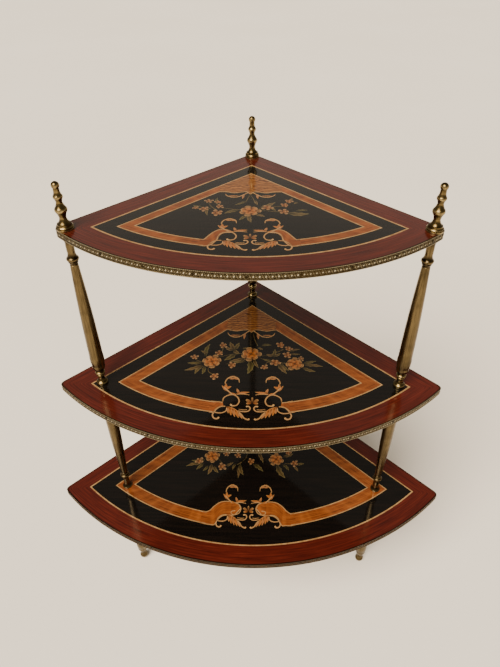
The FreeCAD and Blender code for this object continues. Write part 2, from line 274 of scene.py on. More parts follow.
@dataclass(frozen=True, kw_only=True)
class StreakedVeneer(Lacquered):
    """Straight-grained veneer: long streaks, short dark pores and a slow drift of colour.

    Real pores are about 0.2 mm wide. They are drawn wider, so that they show.
    """

    dark: str
    body: str
    light: str
    pore: str
    grain: Grain = Grain.SURFACE
    streak_length: float = 45.0
    streak_width: float = 1.8
    streak_roughness: float = 0.62
    streak_bend: float = 0.35
    streak_stops: tuple[float, float, float] = (0.30, 0.5, 0.72)
    pore_length: float = 7.0
    pore_width: float = 0.55
    pore_span: Span = (0.40, 0.27)
    pore_depth: float = 0.55
    drift_length: float = 70.0
    drift_span: Span = (0.35, 0.7)
    drift: float = 0.35
    ripple_length: float = 0.0
    ripple_stretch: float = 8.0
    ripple_bend: float = 0.6
    ripple_span: Span = (0.45, 0.75)
    ripple: float = 0.0

    def paint(self, tree: Tree, shader: Node) -> None:
        """Colour the streaks along the first coordinate, then lay pores and drift on them.

        Figured wood also has faint bands of light across its grain.

        Args:
            tree: the material's node tree.
            shader: its principled shader.
        """
        place = add(tree, "ShaderNodeTexCoord")
        vector = place.outputs[self.grain.value]
        streak = stretched_noise(
            tree, vector, (self.streak_length, self.streak_width, self.streak_width),
            FINE_DETAIL, self.streak_roughness, self.streak_bend)
        shades = (self.dark, self.body, self.light)
        ramp = add(tree, "ShaderNodeValToRGB", {"Fac": streak},
                   stops=list(zip(self.streak_stops, shades)))
        pores = stretched_noise(
            tree, vector, (self.pore_length, self.pore_width, self.pore_width), SOFT_DETAIL)
        colour = overlay(tree, pores, self.pore_span, self.pore_depth, ramp.outputs[0],
                         self.pore)
        slow = add(tree, "ShaderNodeTexNoise", {
            "Vector": place.outputs["Object"], "Scale": per_metre(self.drift_length),
            "Detail": SOFT_DETAIL})
        colour = overlay(tree, slow.outputs["Fac"], self.drift_span, self.drift, colour,
                         self.dark)
        if self.ripple > 0:
            along = self.ripple_stretch * self.ripple_length
            bands = stretched_noise(tree, vector, (self.ripple_length, along, along),
                                    SOFT_DETAIL, bend=self.ripple_bend)
            colour = overlay(tree, bands, self.ripple_span, self.ripple, colour, self.light)
        tree.links.new(colour, shader.inputs["Base Color"])
        self.varnish(tree, shader)


@dataclass(frozen=True, kw_only=True)
class BurrVeneer(Lacquered):
    """Burr veneer: swirling lines round small eyes.

    Real lines lie closer together. They are drawn wider, so that they show.
    """

    dark: str
    body: str
    light: str
    swirl_length: float = 12.0
    swirl_strength: float = 11.0
    line_width: float = 3.4
    line_bend: float = 3.0
    line_bend_scale: float = 1.2
    line_stops: tuple[float, float, float] = (0.0, 0.42, 1.0)
    eye_spacing: float = 9.0
    eye_span: Span = (0.28, 0.05)
    eye_depth: float = 0.6

    def paint(self, tree: Tree, shader: Node) -> None:
        """Bend the coordinates with broad noise, and draw rings and eyes on them.

        Args:
            tree: the material's node tree.
            shader: its principled shader.
        """
        place = add(tree, "ShaderNodeTexCoord")
        swirl = add(tree, "ShaderNodeTexNoise", {
            "Vector": place.outputs["Object"], "Scale": per_metre(self.swirl_length),
            "Detail": SOFT_DETAIL})
        bent = add(tree, "ShaderNodeVectorMath", {
            0: swirl.outputs["Color"], 1: (self.swirl_strength * MM,) * 3,
            2: place.outputs["Object"]}, operation="MULTIPLY_ADD")
        rings = add(tree, "ShaderNodeTexWave", {
            "Vector": bent.outputs[0],
            "Scale": per_metre(self.line_width) * FULL_TURN / WAVE_TURN,
            "Distortion": self.line_bend, "Detail": EVEN_DETAIL,
            "Detail Scale": self.line_bend_scale}, bands_direction="Y")
        shades = (self.dark, self.body, self.light)
        ramp = add(tree, "ShaderNodeValToRGB", {"Fac": rings.outputs["Fac"]},
                   stops=list(zip(self.line_stops, shades)))
        eyes = add(tree, "ShaderNodeTexVoronoi", {
            "Vector": bent.outputs[0], "Scale": per_metre(self.eye_spacing)})
        colour = overlay(tree, eyes.outputs["Distance"], self.eye_span, self.eye_depth,
                         ramp.outputs[0], self.dark)
        tree.links.new(colour, shader.inputs["Base Color"])
        self.varnish(tree, shader)


@dataclass(frozen=True, kw_only=True)
class ShadedInlay(Lacquered):
    """Small cut veneer scorched in hot sand: dark at the root, with its own colour
    along both edges.

    The surface map holds the share along the piece and the share across it. The tint
    attribute moves each piece between two colours.
    """

    scorched: str
    body: str
    other_body: str
    rim: str
    edge: str
    root_reach: float
    edge_share: float
    rim_start: float = 0.80
    edge_reach: float = 0.14
    midrib: float = 0.0
    midrib_core: float = 0.02
    midrib_share: float = 0.75
    fibre_length: float = 7.0
    fibre_width: float = 0.7
    fibre_span: Span = (0.52, 0.3)
    fibre_depth: float = 0.30

    def paint(self, tree: Tree, shader: Node) -> None:
        """Mix body, rim and scorch by the shares along and across, then add fibres.

        A leaf also has a dark line down its middle.

        Args:
            tree: the material's node tree.
            shader: its principled shader.
        """
        place = add(tree, "ShaderNodeTexCoord")
        shares = add(tree, "ShaderNodeSeparateXYZ", {"Vector": place.outputs["UV"]})
        along = shares.outputs[0]
        tint = add(tree, "ShaderNodeAttribute", attribute_name=TINT)
        body = add(tree, "ShaderNodeMix", {
            MIX_SHARE: tint.outputs["Fac"], MIX_FIRST: linear(self.body),
            MIX_SECOND: linear(self.other_body)}, data_type="RGBA")
        middle = add(tree, "ShaderNodeMath", {0: shares.outputs[1], 1: HALF_WIDTH},
                     operation="SUBTRACT")
        away = add(tree, "ShaderNodeMath", {0: middle.outputs[0]},
                   operation="ABSOLUTE").outputs[0]
        colour = overlay(tree, along, (self.rim_start, 1.0), 1.0,
                         body.outputs[MIX_RESULT], self.rim)
        colour = overlay(tree, along, (self.root_reach, 0.0), 1.0, colour, self.scorched)
        colour = overlay(tree, away, (HALF_WIDTH - self.edge_reach, HALF_WIDTH),
                         self.edge_share, colour, self.edge)
        if self.midrib > 0:
            colour = overlay(tree, away, (self.midrib, self.midrib_core),
                             self.midrib_share, colour, self.scorched)
        fibres = stretched_noise(
            tree, place.outputs["Object"],
            (self.fibre_width, self.fibre_length, self.fibre_width), SOFT_DETAIL)
        colour = overlay(tree, fibres, self.fibre_span, self.fibre_depth, colour,
                         self.scorched)
        tree.links.new(colour, shader.inputs["Base Color"])
        self.varnish(tree, shader)


@dataclass(frozen=True)
class EbonisedGround(Lacquered):
    """Black-stained pearwood: almost black, with brown just showing in the grain."""

    black: str = "#070605"
    brown: str = "#120d09"
    streak_length: float = 60.0
    streak_width: float = 2.4
    streak_span: Span = (0.4, 0.75)

    def paint(self, tree: Tree, shader: Node) -> None:
        """Streak two near blacks from side to side of the shelf.

        Args:
            tree: the material's node tree.
            shader: its principled shader.
        """
        place = add(tree, "ShaderNodeTexCoord")
        streak = stretched_noise(
            tree, place.outputs["Object"],
            (self.streak_length, self.streak_width, self.streak_width), EVEN_DETAIL)
        ramp = add(tree, "ShaderNodeValToRGB", {"Fac": streak},
                   stops=list(zip(self.streak_span, (self.black, self.brown))))
        tree.links.new(ramp.outputs[0], shader.inputs["Base Color"])
        self.varnish(tree, shader)


@dataclass(frozen=True, kw_only=True)
class AgedBrass(Finish):
    """Cast or turned brass, rubbed bright on its crests and brown in its hollows.

    The tint attribute is 0 in the hollows and 1 on the crests. Real scratches are finer.
    They are drawn wider, so that they show.
    """

    aged: str
    bright: str
    hollow: str = "#241a0c"
    tarnish: str = "#4a3a1e"
    aged_stop: float = 0.55
    rough_low: float = 0.24
    rough_high: float = 0.46
    rough_span: Span = (0.3, 0.7)
    scratch_width: float = 0.9
    scratch_length: float = 60.0
    scratch_roughness: float = 0.65
    scratch_span: Span = (0.42, 0.66)
    scratch: float = 0.6
    patch_length: float = 16.0
    patch_span: Span = (0.48, 0.72)
    patch: float = 0.45

    def paint(self, tree: Tree, shader: Node) -> None:
        """Colour by height, then lay long vertical scratches and soft tarnish over it.

        Args:
            tree: the material's node tree.
            shader: its principled shader.
        """
        place = add(tree, "ShaderNodeTexCoord")
        height = add(tree, "ShaderNodeAttribute", attribute_name=TINT)
        ramp = add(tree, "ShaderNodeValToRGB", {"Fac": height.outputs["Fac"]},
                   stops=[(0.0, self.hollow), (self.aged_stop, self.aged),
                          (1.0, self.bright)])
        scratches = stretched_noise(
            tree, place.outputs["Object"],
            (self.scratch_width, self.scratch_width, self.scratch_length), EVEN_DETAIL,
            self.scratch_roughness)
        colour = overlay(tree, scratches, self.scratch_span, self.scratch,
                         ramp.outputs[0], self.tarnish)
        patches = add(tree, "ShaderNodeTexNoise", {
            "Vector": place.outputs["Object"], "Scale": per_metre(self.patch_length),
            "Detail": FINE_DETAIL})
        colour = overlay(tree, patches.outputs["Fac"], self.patch_span, self.patch, colour,
                         self.tarnish)
        rough = add(tree, "ShaderNodeMapRange", {
            "Value": patches.outputs["Fac"], "From Min": self.rough_span[0],
            "From Max": self.rough_span[1], "To Min": self.rough_low,
            "To Max": self.rough_high})
        tree.links.new(colour, shader.inputs["Base Color"])
        tree.links.new(rough.outputs[0], shader.inputs["Roughness"])
        shader.inputs["Metallic"].default_value = 1.0


@dataclass(frozen=True, kw_only=True)
class MottledSurface(Finish):
    """Plain matt material whose two colours drift into each other."""

    first: str
    second: str
    roughness: float
    mottle_length: float = 20.0
    mottle_span: Span = (0.3, 0.7)
    gleam: float = 0.5
    metallic: float = 0.0

    def paint(self, tree: Tree, shader: Node) -> None:
        """Mix the two colours with one noise.

        Args:
            tree: the material's node tree.
            shader: its principled shader.
        """
        place = add(tree, "ShaderNodeTexCoord")
        mottle = add(tree, "ShaderNodeTexNoise", {
            "Vector": place.outputs["Object"], "Scale": per_metre(self.mottle_length),
            "Detail": FINE_DETAIL})
        ramp = add(tree, "ShaderNodeValToRGB", {"Fac": mottle.outputs["Fac"]},
                   stops=list(zip(self.mottle_span, (self.first, self.second))))
        tree.links.new(ramp.outputs[0], shader.inputs["Base Color"])
        shader.inputs["Roughness"].default_value = self.roughness
        shader.inputs["Specular IOR Level"].default_value = self.gleam
        shader.inputs["Metallic"].default_value = self.metallic


# Sliced mahogany under french polish: deep red-brown, with dark pores along the grain
MAHOGANY = StreakedVeneer("mahogany_veneer_polished", dark="#2d0b06", body="#45140b",
                          light="#5d2114", pore="#1b0703", film_roughness=0.15)
# Solid mahogany lipping, stained a little darker than the veneer
LIPPING = StreakedVeneer("mahogany_lipping_stained", grain=Grain.STAND, dark="#1f0a05",
                         body="#34130a", light="#451b0f", pore="#1b0703",
                         streak_width=6.0)
# Tulipwood crossbanding: warm orange with brown streaks along it
TULIPWOOD = StreakedVeneer("tulipwood_band_polished", dark="#401c0a", body="#733b16",
                           light="#935424", pore="#321a0a", streak_length=30.0,
                           streak_width=1.5, pore_depth=0.5, drift=0.5,
                           ripple_length=9.0, ripple=0.4)
# Amboyna burr: small eyes in wavy lines
BURR = BurrVeneer("amboyna_burr_polished", dark="#42230e", body="#6c401d", light="#89582b")
# Boxwood stringing: tan, close grained, yellowed by its lacquer
BOXWOOD = StreakedVeneer("boxwood_line_polished", grain=Grain.STAND, dark="#7e5e39",
                         body="#95734a", light="#a5865d", pore="#6a4522",
                         streak_length=6.0, streak_width=6.0, pore_depth=0.2, drift=0.2)
# Pearwood stained black, under a thick lacquer
EBONISED = EbonisedGround("ebonised_pearwood_polished")
# Sycamore lines of the scrollwork: thin, pale tan, a little scorched where they start
SCROLL_LINE = ShadedInlay("sycamore_line_scorched", body="#96724a", other_body="#8a6840",
                          rim="#a58356", scorched="#4e3016", edge="#5f4020",
                          root_reach=0.1, rim_start=0.85, edge_share=0.3)
# Satinwood leaves of the scrollwork: orange to old pink, left pale along their edges
SCROLL_LEAF = ShadedInlay("satinwood_leaf_scorched", body="#835939", other_body="#8d5120",
                          rim="#9c7646", scorched="#381806", edge="#947041",
                          root_reach=0.35, rim_start=0.8, edge_share=0.75)
# Satinwood petals: brown outside, orange at the heart, scorched where they overlap
ROSE_PETALS = ShadedInlay("satinwood_petal_scorched", body="#64482b", other_body="#8c4f1f",
                          rim="#8f7047", scorched="#2a1306", edge="#2a1306",
                          root_reach=0.55, rim_start=0.78, edge_reach=0.18, edge_share=0.9)
# Holly petals: tan to old pink and orange
SMALL_PETALS = ShadedInlay("holly_petal_scorched", body="#6a5138", other_body="#7a4a24",
                           rim="#8c7250", scorched="#2a1408", edge="#2a1408",
                           root_reach=0.55, rim_start=0.7, edge_reach=0.2, edge_share=0.7)
# Leaves of sycamore stained green, faded to olive and brown, with a scorched midrib
LEAVES = ShadedInlay("stained_sycamore_leaf_scorched", body="#48401f",
                     other_body="#5a4429", rim="#615734", scorched="#171206",
                     edge="#6a6040", root_reach=0.55, edge_share=0.65, midrib=0.17)
# Turned brass, lacquer long gone: olive brown with rubbed highlights
TURNED_BRASS = AgedBrass("turned_brass_aged", aged="#6c5c38", bright="#b5a071",
                         tarnish="#3c311d", rough_low=0.18, rough_high=0.36)
# Long turned sleeves, neck collars and feet: the same brass, darker and browner; on the feet the
# darker colour is painted shade under the bottom shelf
SLEEVE_BRASS = AgedBrass("turned_brass_tarnished", hollow="#18120a", aged="#4b3f29",
                         bright="#7d6c4a", tarnish="#2c2315", rough_low=0.2,
                         rough_high=0.4)
# Embossed brass gallery strip: bright crests over dark hollows
EMBOSSED_BRASS = AgedBrass("embossed_brass_aged", hollow="#2a2214", aged="#6b6149",
                           bright="#d6ccb2", scratch_length=4.0, scratch=0.3,
                           patch_length=24.0)
# The same strip on the bottom shelf, darker: painted shade where the light falls off towards the
# floor
SHADED_FLOOR_BRASS = AgedBrass("embossed_brass_tarnished", hollow="#1c150d", aged="#4c3d2b",
                       bright="#877150", tarnish="#33271a", scratch_length=4.0,
                       scratch=0.3, patch_length=24.0)
# Plywood core stained dark under the shelf
PLYWOOD = MottledSurface("plywood_core_stained", first="#24130d", second="#382015",
                         roughness=0.75, gleam=0.08)
# Mild steel tie rod, dull with oil
STEEL = MottledSurface("steel_rod_drawn", first="#5c5b58", second="#7b7975",
                       roughness=0.4, metallic=1.0)
# Painted studio floor, matt and pale
FLOOR = MottledSurface("studio_floor_matt", first="#ece4d6", second="#f0e9dc",
                       mottle_length=900.0, roughness=0.85)


# Meshes


@dataclass
class Skin:
    """One closed form in millimetres.

    Attributes:
        points: n by 3 places.
        faces: m by 4 point numbers.
        grain: n by 2 surface coordinates.
        tint: n values that the finish reads.
    """

    points: Array
    faces: Array
    grain: Array
    tint: Array

    def mirrored(self, centre: float) -> "Skin":
        """The same form on the other side of the plane x = centre."""
        points = self.points * (-1, 1, 1) + (2 * centre, 0, 0)
        return Skin(points, self.faces[:, ::-1], self.grain, self.tint)

    def moved(self, x: float, y: float, z: float) -> "Skin":
        """The same form shifted by a step."""
        return Skin(self.points + (x, y, z), self.faces, self.grain, self.tint)


def grid_faces(index: Array) -> Array:
    """Faces between neighbouring numbers of a two-way grid of point numbers."""
    corners = [index[:-1, :-1], index[1:, :-1], index[1:, 1:], index[:-1, 1:]]
    return np.stack(corners, axis=-1).reshape(-1, 4)


def slab(top: Array, depth: float, grain: Array, tint: float = 0.0) -> Skin:
    """Closed plate: a grid, the same grid lowered by the depth, and a wall round both.

    Args:
        top: rows by columns by 3 places of the upper face.
        depth: how far the underside lies below.
        grain: rows by columns by 2 surface coordinates.
        tint: one value for the whole plate.

    Returns:
        The plate, with its upper face turned up.
    """
    rows, columns = top.shape[:2]
    count = rows * columns
    upper = top.reshape(-1, 3)
    index = np.arange(count).reshape(rows, columns)
    border = np.concatenate([index[0, :-1], index[:-1, -1], index[-1, :0:-1],
                             index[:0:-1, 0]])
    onwards = np.roll(border, -1)
    face = grid_faces(index)
    wall = np.stack([border, onwards, onwards + count, border + count], axis=-1)
    faces = np.concatenate([face, face[:, ::-1] + count, wall])
    first = upper[face[:, 2], :2] - upper[face[:, 0], :2]
    second = upper[face[:, 3], :2] - upper[face[:, 1], :2]
    if np.sum(first[:, 0] * second[:, 1] - first[:, 1] * second[:, 0]) < 0:
        faces = faces[:, ::-1]
    points = np.concatenate([upper, upper - (0, 0, depth)])
    shares = np.tile(grain.reshape(-1, 2), (2, 1))
    return Skin(points, faces, shares, np.full(2 * count, tint))


def piece(
    name: str,
    skins: Sequence[Skin],
    finish: Finish,
    replaces: Sequence[str] = (),
    smooth_angle: float | None = None,
    weld: bool = False,
) -> None:
    """Make one object of closed forms, dress it and hang it on the stand.

    Args:
        name: the object's name.
        skins: its forms.
        finish: its surface.
        replaces: CAD nodes that it stands for.
        smooth_angle: edges sharper than this many degrees stay sharp.
        weld: join points that meet, and close any open end.
    """
    counts = [len(skin.points) for skin in skins]
    starts = np.cumsum([0] + counts[:-1])
    points = np.concatenate([skin.points for skin in skins]) * MM
    faces = np.concatenate([skin.faces + start for skin, start in zip(skins, starts)])
    grain = np.concatenate([skin.grain for skin in skins])
    tint = np.concatenate([skin.tint for skin in skins])
    mesh = bpy.data.meshes.new(name)
    mesh.from_pydata(points.tolist(), [], faces.tolist())
    layer = mesh.uv_layers.new(name=GRAIN_MAP)
    layer.data.foreach_set("uv", grain[faces.ravel()].ravel())
    mesh.attributes.new(TINT, "FLOAT", "POINT").data.foreach_set("value", tint)
    form = bmesh.new()
    form.from_mesh(mesh)
    if weld:
        bmesh.ops.remove_doubles(form, verts=form.verts, dist=WELD_DISTANCE * MM)
        loose = [edge for edge in form.edges if not edge.link_faces]
        bmesh.ops.delete(form, geom=loose, context="EDGES")
        bmesh.ops.holes_fill(form, edges=form.edges)
    bmesh.ops.recalc_face_normals(form, faces=form.faces)
    form.to_mesh(mesh)
    form.free()
    if smooth_angle is not None:
        mesh.shade_smooth()
        mesh.set_sharp_from_angle(angle=math.radians(smooth_angle))
    mesh.materials.append(finish.make())
    made = bpy.data.objects.new(name, mesh)
    bpy.context.scene.collection.objects.link(made)
    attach(made, BODY)
    if replaces:
        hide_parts(*replaces)
    log.info("built %s: %d faces", name, len(mesh.polygons))


def spread(number: int) -> float:
    """A share that jumps about evenly from one number to the next."""
    return number * GOLDEN_SHARE % 1


def scaled(point: Point, centre: Point, scale: float, hand: int = 1) -> Point:
    """A drawn place, scaled about its pattern's centre and mirrored where hand is -1."""
    return (centre[0] + hand * point[0] * scale, centre[1] + point[1] * scale)


def raised(flat: Array, level: float) -> Array:
    """Give places in the plan one common height."""
    return np.concatenate([flat, np.full(flat.shape[:2] + (1,), level)], axis=-1)


def distances(points: Array) -> Array:
    """Distance run along a broken line, from 0 at its first place."""
    return np.concatenate([[0], np.cumsum(np.linalg.norm(np.diff(points, axis=0), axis=1))])


def smooth_path(points: Sequence[Point], count: int) -> Array:
    """Points on the Catmull-Rom curve, which passes through every given point.

    Between two of them it is a cubic, whose slope at each is half the step from the point
    before it to the point after it.

    Args:
        points: the curve's own points.
        count: how many places to return, evenly shared between the points.

    Returns:
        count by 2 places.
    """
    knots = np.array(points, float)
    ends = [2 * knots[0] - knots[1], 2 * knots[-1] - knots[-2]]
    padded = np.vstack([ends[0], knots, ends[1]])
    where = np.linspace(0, len(knots) - 1, count)
    start = np.minimum(where.astype(int), len(knots) - 2)
    t = (where - start)[:, None]
    before, near, far, after = (padded[start + step] for step in range(4))
    bend = 2 * before - 5 * near + 4 * far - after
    twist = 3 * near - before - 3 * far + after
    return near + ((far - before) * t + bend * t ** 2 + twist * t ** 3) / 2


@dataclass(frozen=True)
class InlayCut:
    """How the small inlays are cut: how finely, how deep, and in which outlines.

    Attributes:
        samples: places along a strap between two of its points.
        across: places across a piece.
        depth: how deep a piece is let in.
        least_width: no piece gets narrower than this.
        blade_rows: places along a petal or a plain leaf.
        toothed_rows: places along a toothed leaf.
        petal_power: how fast a petal widens, less being faster.
        petal_round: how far a petal's corners are cut back, as a share of its length.
        petal_notch: how deep the notch in the middle of its end is.
        notch_power: how narrow that notch is.
        leaf_power: below 1 a leaf is widest before its middle.
        leaf_fullness: below 1 a leaf is fuller than a sine.
        tooth_depth: depth of a leaf's teeth, as a share of its width.
    """

    samples: int = 12
    across: int = 5
    depth: float = 0.25
    least_width: float = 0.12
    blade_rows: int = 10
    toothed_rows: int = 19
    petal_power: float = 0.6
    petal_round: float = 0.30
    petal_notch: float = 0.05
    notch_power: int = 6
    leaf_power: float = 0.8
    leaf_fullness: float = 0.8
    tooth_depth: float = 0.30


CUT = InlayCut()


def ribbon(
    points: Sequence[Point], widths: Sequence[float], level: float, tint: float = 0.0
) -> Skin:
    """Flat strap: a curve widened square to itself, with both ends rounded off.

    Near an end the half width shrinks like a circle whose radius is that half width.

    Args:
        points: the middle line's points.
        widths: the full width at each of them.
        level: height of the strap above the shelf.
        tint: value for the finish.

    Returns:
        The strap as a closed plate.
    """
    count = CUT.samples * (len(points) - 1) + 1
    centre = smooth_path(points, count)
    step = np.gradient(centre, axis=0)
    reach = np.linalg.norm(step, axis=1)
    square = np.stack([-step[:, 1], step[:, 0]], axis=-1) / reach[:, None]
    run = distances(centre)
    half = np.interp(np.linspace(0, len(points) - 1, count), range(len(points)), widths) / 2
    to_end = np.minimum(run, run[-1] - run)
    cap = np.clip(1 - to_end / np.maximum(half, CUT.least_width), 0, 1)
    half = np.maximum(half * np.sqrt(1 - cap ** 2), CUT.least_width / 2)
    share = np.linspace(-1, 1, CUT.across)
    flat = centre[:, None] + square[:, None] * (half[:, None] * share)[..., None]
    grain = np.stack(np.broadcast_arrays((run / run[-1])[:, None], (share + 1) / 2), -1)
    return slab(raised(flat, level), CUT.depth, grain, tint)


class Blade(Enum):
    """Kinds of small cut pieces."""

    PETAL = "petal"
    LEAF = "leaf"


def blade(
    kind: Blade,
    root: Point,
    tip: Point,
    width: float,
    level: float,
    tint: float = 0.0,
    bend: float = 0.0,
    teeth: int = 0,
) -> Skin:
    """Petal or leaf between its root and its tip.

    A petal's half width is the sine of a quarter turn times a power of the share along
    it, and its end is an arc with a small notch. A leaf's half width is a power of the
    sine of half a turn times such a power, cut by the teeth. Both bow aside like 4 a
    (1 - a), where a is the share along.

    Args:
        kind: petal or leaf.
        root: where it grows from.
        tip: its far end.
        width: its greatest width.
        level: its height above the shelf.
        tint: value for the finish.
        bend: how far the middle bows aside, as a share of its length.
        teeth: how many teeth each side has.

    Returns:
        The blade as a closed plate.
    """
    rows = CUT.toothed_rows if teeth else CUT.blade_rows
    along = np.linspace(0, 1, rows)[:, None]
    share = np.linspace(-1, 1, CUT.across)[None, :]
    axis = np.subtract(tip, root)
    side = np.array([-axis[1], axis[0]])
    if kind is Blade.PETAL:
        half = np.sin(math.pi / 2 * along ** CUT.petal_power)
        notch = CUT.petal_notch * (1 - share ** 2) ** CUT.notch_power
        reach = along * (1 - CUT.petal_round * share ** 2 * along - notch)
    else:
        half = np.sin(math.pi * along ** CUT.leaf_power) ** CUT.leaf_fullness
        if teeth:
            bite = CUT.tooth_depth * np.abs(np.sin(math.pi * teeth * along))
            half = half * (1 - bite)
        reach = np.broadcast_to(along, (rows, CUT.across))
    half = np.maximum(half * width / 2, CUT.least_width / 2) / np.linalg.norm(axis)
    aside = half * share + 4 * bend * along * (1 - along)
    flat = np.array(root) + reach[..., None] * axis + aside[..., None] * side
    grain = np.stack(np.broadcast_arrays(along, (share + 1) / 2), -1)
    return slab(raised(flat, level), CUT.depth, grain, tint)


# The flower sprays, as x to the right and y from the shelf's back corner, which is minus
# towards the front. A flower is (x, y, radius) and a leaf is (root x, y, tip x, y, width).


@dataclass(frozen=True)
class Spray:
    """Flowers, leaves and stems of one shelf, placed one by one."""

    roses: tuple[tuple[float, ...], ...]
    blossoms: tuple[tuple[float, ...], ...]
    leaves: tuple[tuple[float, ...], ...]
    stems: tuple[tuple[Point, ...], ...]


TOP_SPRAY = Spray(
    roses=((0, -139, 10.5),),
    blossoms=(
        (-39, -119, 4.6), (-30, -121, 3.6), (-28, -130, 4.4), (-29.5, -143, 6.4),
        (-42, -135, 5.2), (-50, -133, 3.4), (16.5, -132, 6.0), (36.5, -119, 4.4),
        (32.5, -127, 4.4), (31.5, -140, 5.6),
    ),
    leaves=(
        (-30, -126, -31, -112, 3.6), (0, -147, 2, -161, 5.0), (-3, -147, -9, -157, 4.2),
        (5, -146, 14, -150, 4.4), (34, -142, 54, -144, 8.0), (42, -139, 53, -137, 3.2),
        (9, -134, 24, -121, 6.0), (-10, -137, -23, -144, 5.4), (39, -121, 40, -112, 3.4),
        (-38, -133, -38, -148, 3.2), (-3, -118, -14, -127, 3.6), (4, -116, 7, -127, 3.0),
        (20, -131, 24, -138, 4.0), (-44, -130, -53, -128, 3.0), (45, -121, 41, -124, 2.8),
    ),
    stems=(
        ((-26, -133), (-13, -136), (-4, -137)), ((6, -135), (20, -131), (34, -128)),
        ((0, -104), (-2, -112), (-4, -121)), ((0, -105), (3, -114), (5, -124)),
        ((-39, -122), (-36, -130), (-30, -138)), ((10, -137), (22, -140), (33, -141)),
        ((-50, -133), (-44, -136), (-36, -134)),
    ),
)
MIDDLE_SPRAY = Spray(
    roses=((0, -155, 12.2), (-43.5, -168, 11.5), (49.5, -171, 11.0)),
    blossoms=(
        (-64, -161, 4.8), (-36, -153.5, 5.0), (-32.5, -140, 5.6), (-20.5, -174, 5.4),
        (-39, -192, 5.6), (15.5, -177, 4.8), (28, -169, 6.6), (43.5, -145, 5.2),
        (34.5, -138.5, 6.0), (42, -156, 5.6), (57, -162, 4.0),
    ),
    leaves=(
        (-51, -160, -48, -138, 6.0), (-50, -156, -58, -150, 3.4),
        (-55, -171, -71, -171, 4.8), (-54, -174, -73, -183, 5.4),
        (-53, -175, -61, -189, 5.4), (-52, -176, -53, -189, 4.8),
        (-20, -148, -25, -134, 6.4), (-20, -148, -14, -135, 6.0),
        (-20, -148, -30, -143, 5.6), (-20, -148, -13, -154, 6.0),
        (-17, -154, -30, -166, 7.0), (-7, -162, -24, -168, 5.4),
        (-6, -168, -20, -171, 3.6), (-1, -166, -3, -188, 8.2),
        (4, -164, 9, -178, 4.6), (26, -160, 28, -146, 5.2), (26, -158, 18, -155, 4.6),
        (26, -158, 34, -153, 4.4), (24, -166, 14, -163, 3.2), (31, -172, 40, -187, 6.4),
        (33, -170, 43, -182, 4.6), (45, -150, 57, -146, 3.2), (45, -153, 57, -154, 3.2),
        (59, -171, 74, -166, 4.4), (60, -173, 81, -175, 4.8), (58, -176, 72, -183, 5.0),
        (12, -140, 24, -139, 4.4), (8, -143, 14, -147, 3.6), (-10, -146, -4, -143, 3.0),
    ),
    stems=(
        ((-38, -161), (-22, -156), (-6, -153)), ((9, -160), (20, -167), (40, -170)),
        ((-47, -178), (-46, -185), (-40, -190)), ((7, -157), (20, -157), (38, -146)),
        ((-36, -158), (-33, -150), (-32, -143)), ((2, -113), (4, -128), (8, -141)),
        ((-64, -163), (-58, -168), (-50, -170)), ((-28, -172), (-14, -170), (-5, -163)),
        ((16, -174), (19, -169), (26, -168)),
    ),
)
BOTTOM_SPRAY = Spray(
    roses=((-5, -164, 12.0), (-53, -184, 11.0), (33.5, -188, 10.8)),
    blossoms=(
        (-34, -180, 4.8), (-18, -182, 5.0), (-39, -201, 6.6), (0, -192, 5.6),
        (58, -194, 6.0), (-70, -192, 6.4), (28, -168, 5.6), (50, -176, 5.0),
        (-36, -162, 5.4), (-62, -170, 4.8),
    ),
    leaves=(
        (-62, -190, -81, -191, 5.4), (-65, -196, -87, -201, 5.4),
        (-64, -196, -73, -206, 5.0), (-53, -197, -57, -214, 6.4),
        (-50, -200, -43, -211, 5.2), (-58, -200, -64, -208, 4.2),
        (-34, -200, -24, -194, 4.2), (-21, -196, -25, -206, 3.6),
        (-19, -203, -17, -219, 3.4), (-15, -197, -10, -214, 6.4),
        (3, -196, 16, -208, 6.4), (9, -176, 16, -194, 5.4), (35, -197, 45, -218, 8.4),
        (42, -196, 50, -206, 4.6), (43, -183, 57, -178, 5.0), (60, -196, 71, -194, 4.6),
        (57, -199, 62, -207, 4.2), (-20, -152, -26, -140, 6.0), (12, -152, 22, -142, 6.0),
    ),
    stems=(
        ((-5, -174), (-8, -187), (-19, -198)), ((-8, -187), (-13, -193), (-16, -200)),
        ((44, -194), (50, -195), (56, -194)), ((-45, -188), (-40, -194), (-38, -200)),
        ((5, -170), (20, -176), (34, -184)), ((-14, -168), (-30, -172), (-46, -180)),
    ),
)


@dataclass(frozen=True)
class Whorl:
    """One ring of a flower's petals, as shares of the flower's radius.

    Attributes:
        count: how many petals it has.
        start_share: where the petals start.
        reach_share: where they end.
        width_share: how wide they are.
        lift: height of the first petal above the shelf, in millimetres.
        turn: how far the ring is turned, as a share of the step between two petals.
        ragged: how much the petals' reach varies.
        tint: the least finish value of a petal.
        tint_spread: how much it varies from petal to petal.
    """

    count: int
    start_share: float
    reach_share: float
    width_share: float
    lift: float
    turn: float
    ragged: float
    tint: float
    tint_spread: float


